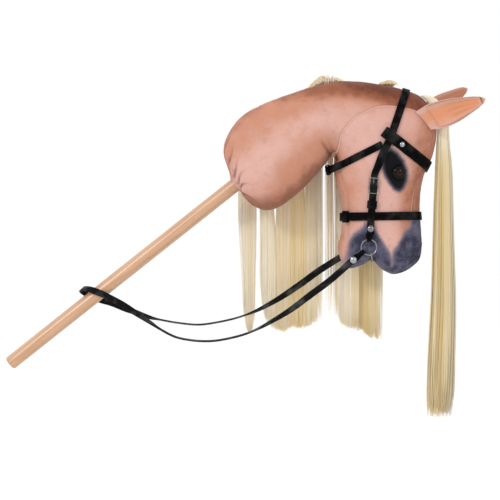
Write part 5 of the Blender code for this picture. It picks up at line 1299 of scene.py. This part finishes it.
inner_width = CHEEK_WIDTH + 2 * KEEPER_CLEARANCE
base = LOW + STEP + GAP - STRAP_THICKNESS / 2 - KEEPER_CLEARANCE - KEEPER_WALL
height = 2 * STRAP_THICKNESS + 2 * KEEPER_CLEARANCE + 2 * GAP
place = RUN @ Matrix.Translation((0, KEEPER_AT, base))
near = keeper("sliding_loop_near", place, inner_width, height, KEEPER_LENGTH, "near_cheek_keeper",
              ("cheek_keeper_near",))
mirror_far(near, "sliding_loop_far", "far_cheek_keeper", "cheek_keeper_far")

# Browband
# A broader strap across the forehead. Each end is turned round the headpiece and riveted back on itself.

BROWBAND_FRONT_MM = (486, 137)
BROWBAND_SIDE_MM = (440, 171)
BROWBAND_LOOP_MM = ((432, 177.5), (420, 186.5), (410, 194))
BROWBAND_END_MM = (437, 173.7)
# From the last point of the loop to the middle of its turned end
BROWBAND_TURN_MM = 9.5
BROWBAND_WIDTH = 20 * MM
BROW_STUD_CAP = 9 * MM

angles = np.radians(np.linspace(0, -90, 12))
on_rivet = LOW + RIVET_BACK + 1.6 * GAP
above_rivet = on_rivet + STEP + GAP
brow_lifts = (LOW + 4 * GAP, LOW + 3 * GAP, LOW + GAP, above_rivet - 1.2 * MM)
lifts = np.interp(-angles, np.radians((0, 30, 50, 90)), brow_lifts)
front, front_ups = round_from(BROWBAND_SIDE_MM, BROWBAND_FRONT_MM, angles, lifts)
over, under = LOW + 2 * STEP + 4 * GAP, LOW
slant = unit(np.subtract(BROWBAND_LOOP_MM[-1], BROWBAND_LOOP_MM[-2]))
end = np.array(BROWBAND_LOOP_MM[-1]) + slant * BROWBAND_TURN_MM
turns = np.radians(np.linspace(80, -80, 5))
radius = (over - under) / 2
round_end = [tuple(end + slant * radius / MM * math.cos(a)) for a in turns]
path = [*BROWBAND_LOOP_MM, *round_end, *BROWBAND_LOOP_MM[::-1], BROWBAND_END_MM]
heights = [above_rivet, over, over, *[(over + under) / 2 + radius * math.sin(a) for a in turns],
           under, under, on_rivet, on_rivet]
loop, loop_ups = lay_on_side(path, heights)
loop_across = unit(np.cross((-slant[0], 0, -slant[1]), loop_ups))
front_across = unit(np.cross(-heading(front), front_ups))
points = np.vstack([front, loop])
ups = np.cross(np.vstack([front_across, loop_across]), heading(points))
points, ups = both_halves(points, ups)
strap("brow_strap", points, ups, BROWBAND_WIDTH, ("browband",))
for name, side in (("near", -1), ("far", 1)):
    point, normal = on_side(BROWBAND_LOOP_MM[0][0] * MM, BROWBAND_LOOP_MM[0][1] * MM, side)
    rivet(f"brow_stud_{name}", point, normal, GAP + RIVET_BACK, above_rivet + STRAP_THICKNESS / 2 + 3 * GAP,
          BROW_STUD_CAP, (f"browband_rivet_{name}",), STEEL)

# Throatlatch
# A narrow strap from cheek to cheek that hangs a little slack behind the jaw, with a loop on it.

THROAT_CENTRE_MM = (345, 152)
THROAT_END_MM = (303, 131)
THROAT_SIDE_ANGLE = math.radians(137)
THROAT_WIDTH = 13 * MM
# How far it hangs off the jaw at most, and how far round from there it does so
THROAT_SLACK = 10 * MM
SLACK_ANGLE = math.radians(52)
THROAT_LOOP_Y = -13 * MM
THROAT_LOOP_WIDTH = 15 * MM
LOOP_LENGTH = 12 * MM


def loop_on(name, point, up, along, inner_width, replaces):
    """A leather loop round a strap at one point of it."""
    height = STRAP_THICKNESS + 4 * KEEPER_CLEARANCE
    place = frame_on(Vector(point), up, along) @ Matrix.Translation((0, 0, -height / 2 - KEEPER_WALL))
    keeper(name, place, inner_width, height, LOOP_LENGTH, "horse", replaces)


angles = np.linspace(-THROAT_SIDE_ANGLE, THROAT_SIDE_ANGLE, 45)
lifts = LOW + THROAT_SLACK * np.exp(-((angles / SLACK_ANGLE) ** 4))
points, ups = resample(*round_from(THROAT_CENTRE_MM, THROAT_END_MM, angles, lifts), PATH_STEP)
strap("throat_strap", points, ups, THROAT_WIDTH, ("throatlatch",))
at = int(np.argmin(abs(points[:, 1] - THROAT_LOOP_Y)))
loop_on("throat_loop", points[at], ups[at], points[at + 1] - points[at - 1], THROAT_LOOP_WIDTH,
        ("throatlatch_keeper",))

# Noseband
# A strap sewn into a ring round the nose and jaw, over its own loop behind the near cheekpiece.

NOSEBAND_CENTRE_MM = (398, 50.5)
NOSEBAND_FRONT_MM = (468, 51.5)
NOSEBAND_LOOP_AT = math.radians(204)
# How far round it stands off on either side of its loop
STAND_OFF_ANGLE = math.radians(26)
NOSEBAND_WIDTH = 15 * MM
NOSE_LOOP_WIDTH = 18 * MM

angles = np.linspace(0, math.tau, 49)[:-1]
behind = np.exp(-(((angles - NOSEBAND_LOOP_AT) / STAND_OFF_ANGLE) ** 4))
lifts = LOW + 2 * GAP + (KEEPER_WALL + 2 * KEEPER_CLEARANCE) * behind
points, ups = round_from(NOSEBAND_CENTRE_MM, NOSEBAND_FRONT_MM, angles, lifts)
strap("nose_strap", points, ups, NOSEBAND_WIDTH, ("noseband",), closed=True)
at = int(np.argmin(abs(angles - NOSEBAND_LOOP_AT)))
loop_on("nose_loop", points[at], ups[at], points[at + 1] - points[at - 1], NOSE_LOOP_WIDTH, ("noseband_keeper",))

# Bit mouthpiece
# A plated bar through the mouth, drawn down at each end to a wire eye that the loose ring turns in.

MOUTH_BAR_MM = (381.5, -30)
BIT_WIRE = 3 * MM
# The bar's radius in the middle, how much of it is lost at the ends, and the ends' distance from the rings
BAR_RADIUS = 3 * MM
BAR_TAPER = 0.3
BAR_IN = 12 * MM

bar = np.array(MOUTH_BAR_MM) * MM
towards = unit(bar - ring_centre[[0, 2]])
hold = ring_centre[[0, 2]] + towards * RING_RADIUS
eye = RING_WIRE / 2 + RING_PLAY + BIT_WIRE / 2
down, out = np.array([towards[0], 0, towards[1]]), np.array([0, -1, 0])
centre = np.array([hold[0], RING_PLANE, hold[1]])
loop = [centre + eye * (down * math.cos(a) + out * math.sin(a)) for a in np.radians(np.linspace(-38, -322, 30))]
bends = through([loop[-1], centre + down * (eye + 3.5 * MM) + out * -1.5 * MM,
                 (bar[0], RING_PLANE + BAR_IN - 3 * MM, bar[1]), (bar[0], RING_PLANE + BAR_IN, bar[1])], 5)
near = np.vstack([loop, bends[1:]])
path = np.vstack([near, (near * (1, -1, 1))[::-1]])
wire("mouth_wire", path, BIT_WIRE, np.cross(down, (0, 1, 0)), ("bit_mouthpiece",))
reach = -RING_PLANE - BAR_IN
swell = np.linspace(-1, 1, 41)
profile = np.column_stack([BAR_RADIUS * (1 - BAR_TAPER * np.abs(swell) ** 4), swell * reach])
profile = np.vstack([[(1.6 * MM, -reach - 0.5 * MM)], profile, [(1.6 * MM, reach + 0.5 * MM)]])
grid = turned(profile, (bar[0], 0, bar[1]), np.array([0, 1.0, 0]), np.array([0, 0, 1.0]), 24)
piece("mouth_bar", grid, closed_tube(grid), STEEL, "bright_steel", replaces=("bit_mouthpiece",), sharp=50)

# Reins
# One long flat strap with both ends folded round the bit rings and riveted, hanging as a loop whose middle is
# passed once round the stick. It is whole in the photograph, so its length is the length seen.

REIN_WIDTH = 12 * MM
REIN_THICKNESS = 2 * MM
REIN_RIVET_AT = 36 * MM
REIN_ENDS = (("near", -1, math.radians(219.4)), ("far", 1, math.radians(199.4)))
# x, y, z in millimetres and the twist from facing sideways in degrees, from the near end round the stick and back
REIN_PATH = (
    (306, -46, -63, 0), (270, -44, -90, 10), (234, -42, -117, 35), (198, -40, -139, 60),
    (171, -38, -153, 78), (144, -36, -163, 88), (108, -33, -171, 90), (81, -31, -173, 90), (54, -29, -171, 90),
    (27, -26, -165, 90), (0, -24, -151, 80), (-18, -22, -139, 60), (-49, -19, -119, 30), (-72, -16, -105, 5),
    (-90, -15.4, -95, 0), (-108, -15.4, -87, 0), (-124, -14.5, -81, 0), (-137, -9, -79, 0), (-141, 0, -81, 0),
    (-137, 9, -86, 0), (-124, 14.5, -93.5, 0), (-108, 15.4, -100, 0), (-90, 15.4, -106, 0), (-72, 16, -112, 5),
    (-49, 18, -121, 30), (-18, 20, -132, 60), (0, 22, -136, 80), (27, 24, -141, 90), (63, 27, -145, 90),
    (90, 29, -143, 90), (126, 32, -136, 90), (153, 34, -128, 80), (180, 36, -117, 60), (216, 39, -97, 35),
    (252, 41, -73, 10), (288, 45, -47, 0),
)

for name, side, angle in REIN_ENDS:
    fold = ring_fold(angle, side, REIN_RIVET_AT + 6 * MM)
    ahead = [fold[0] * (1 - s) + fold[1] * s for s in (0.25, 0.5, 0.75)]
    behind = [fold[-2] * (1 - s) + fold[-1] * s for s in (0.25, 0.5, 0.75)]
    points = np.vstack([fold[:1], ahead, fold[1:-1], behind, fold[-1:]])
    across = np.cross((0, side, 0), (math.cos(angle), 0, math.sin(angle)))
    width = np.full(len(points), REIN_WIDTH)
    width[3:-3] = RING_LOOP_WIDTH
    strap(f"rein_fold_{name}", points, np.cross(across, heading(points)), width, (f"rein_end_{name}",))
    reach = PLY_OUT + STRAP_THICKNESS / 2 + GAP
    rivet(f"rein_stud_{name}", ring_point(side, angle, REIN_RIVET_AT), (0, side, 0), -reach, reach, STUD_CAP,
          (f"rein_rivet_{name}",), STEEL)

starts = [[(*(ring_point(side, angle, REIN_RIVET_AT + past * MM) / MM), 0) for past in (-5, 2, 9)]
          for _, side, angle in REIN_ENDS]
fine = through(np.vstack([starts[0], np.array(REIN_PATH, float), starts[1][::-1]]), 6)
fine[:, :3] *= MM
line, tangent = fine[:, :3], heading(fine[:, :3])
twist = np.radians(np.minimum(fine[:, 3], 79))[:, None]
from_stick = line - WAY * (line @ WAY)[:, None]
near_stick = np.clip((-0.05 - line[:, 0]) / 0.04, 0, 1)[:, None]
sideways = np.where(np.arange(len(line)) < len(line) / 2, -1, 1)[:, None] * np.array([0, 1.0, 0])
sideways = unit(sideways * (1 - near_stick) + unit(from_stick) * near_stick)
upward = np.cross(tangent, sideways)
upward = upward * np.sign(upward[:, 2:3] + 1e-9)
points, ups = resample(line, sideways * np.cos(twist) + upward * np.sin(twist), PATH_STEP)
rein_leather = strap_leather("black_rein_leather", 0.17)
reins = strap("long_reins", points, ups, REIN_WIDTH, ("reins",), REIN_THICKNESS, per_span=3, material=rein_leather)

# Studio
# A white floor and an even white surround. The key lamp is up and to the left of the camera, a weaker fill lamp is
# to its right and a top lamp is behind the horse. The camera looks straight at the near side through a long lens.

VIEW_CENTRE = (0.162, -0.0099)
VIEW_WIDTH = 0.9
CAMERA_DISTANCE = 5.0
FLOOR_Z = -0.34
FLOOR_GLOW = 0.3
SURROUND = 0.8
# Each lamp's name, place, breadth and power, and the point that all of them face
LAMPS = (
    ("key", (-1.5, -2.5, 1.5), 0.55, 24), ("fill", (1.9, -2.4, 1.0), 0.5, 6), ("top", (-0.4, 0.9, 2.4), 0.7, 8),
)
LIT_POINT = Vector((0.2, 0, 0))
WHITE = (1, 1, 1, 1)


def place_in_scene(made):
    """Adds an object to the scene and gives it back."""
    bpy.context.scene.collection.objects.link(made)
    return made


lens = bpy.data.cameras.new("camera")
lens.lens = 36 * CAMERA_DISTANCE / VIEW_WIDTH
lens.clip_end = 200
camera = place_in_scene(bpy.data.objects.new("camera", lens))
camera.location = (VIEW_CENTRE[0], -CAMERA_DISTANCE, VIEW_CENTRE[1])
camera.rotation_euler = (math.radians(90), 0, 0)
bpy.context.scene.camera = camera

mesh = bpy.data.meshes.new("floor")
mesh.from_pydata([(-30, -30, FLOOR_Z), (30, -30, FLOOR_Z), (30, 30, FLOOR_Z), (-30, 30, FLOOR_Z)], [], [(0, 1, 2, 3)])
floor = place_in_scene(bpy.data.objects.new("floor", mesh))
white, tree, shader = new_material("white_floor")
seen = node(tree, "LightPath", out="Is Camera Ray")
feed(tree, shader, {"Base Color": (0.88, 0.88, 0.88, 1), "Roughness": 0.9, "Emission Color": WHITE,
                    "Emission Strength": times(tree, seen, FLOOR_GLOW)})
mesh.materials.append(white)

world = bpy.data.worlds.new("surround")
bpy.context.scene.world = world
world.use_nodes = True
tree = world.node_tree
seen = node(tree, "LightPath", out="Is Camera Ray")
feed(tree, tree.nodes["Background"], {"Strength": between(tree, seen, SURROUND, 1.0), "Color": WHITE})

for name, place, size, power in LAMPS:
    light = bpy.data.lights.new(name, "AREA")
    light.shape, light.size, light.energy = "DISK", size, power
    lamp = place_in_scene(bpy.data.objects.new(name, light))
    lamp.location = place
    lamp.rotation_euler = (LIT_POINT - Vector(place)).to_track_quat("-Z", "Y").to_euler()

bpy.context.scene.view_settings.view_transform = "Standard"
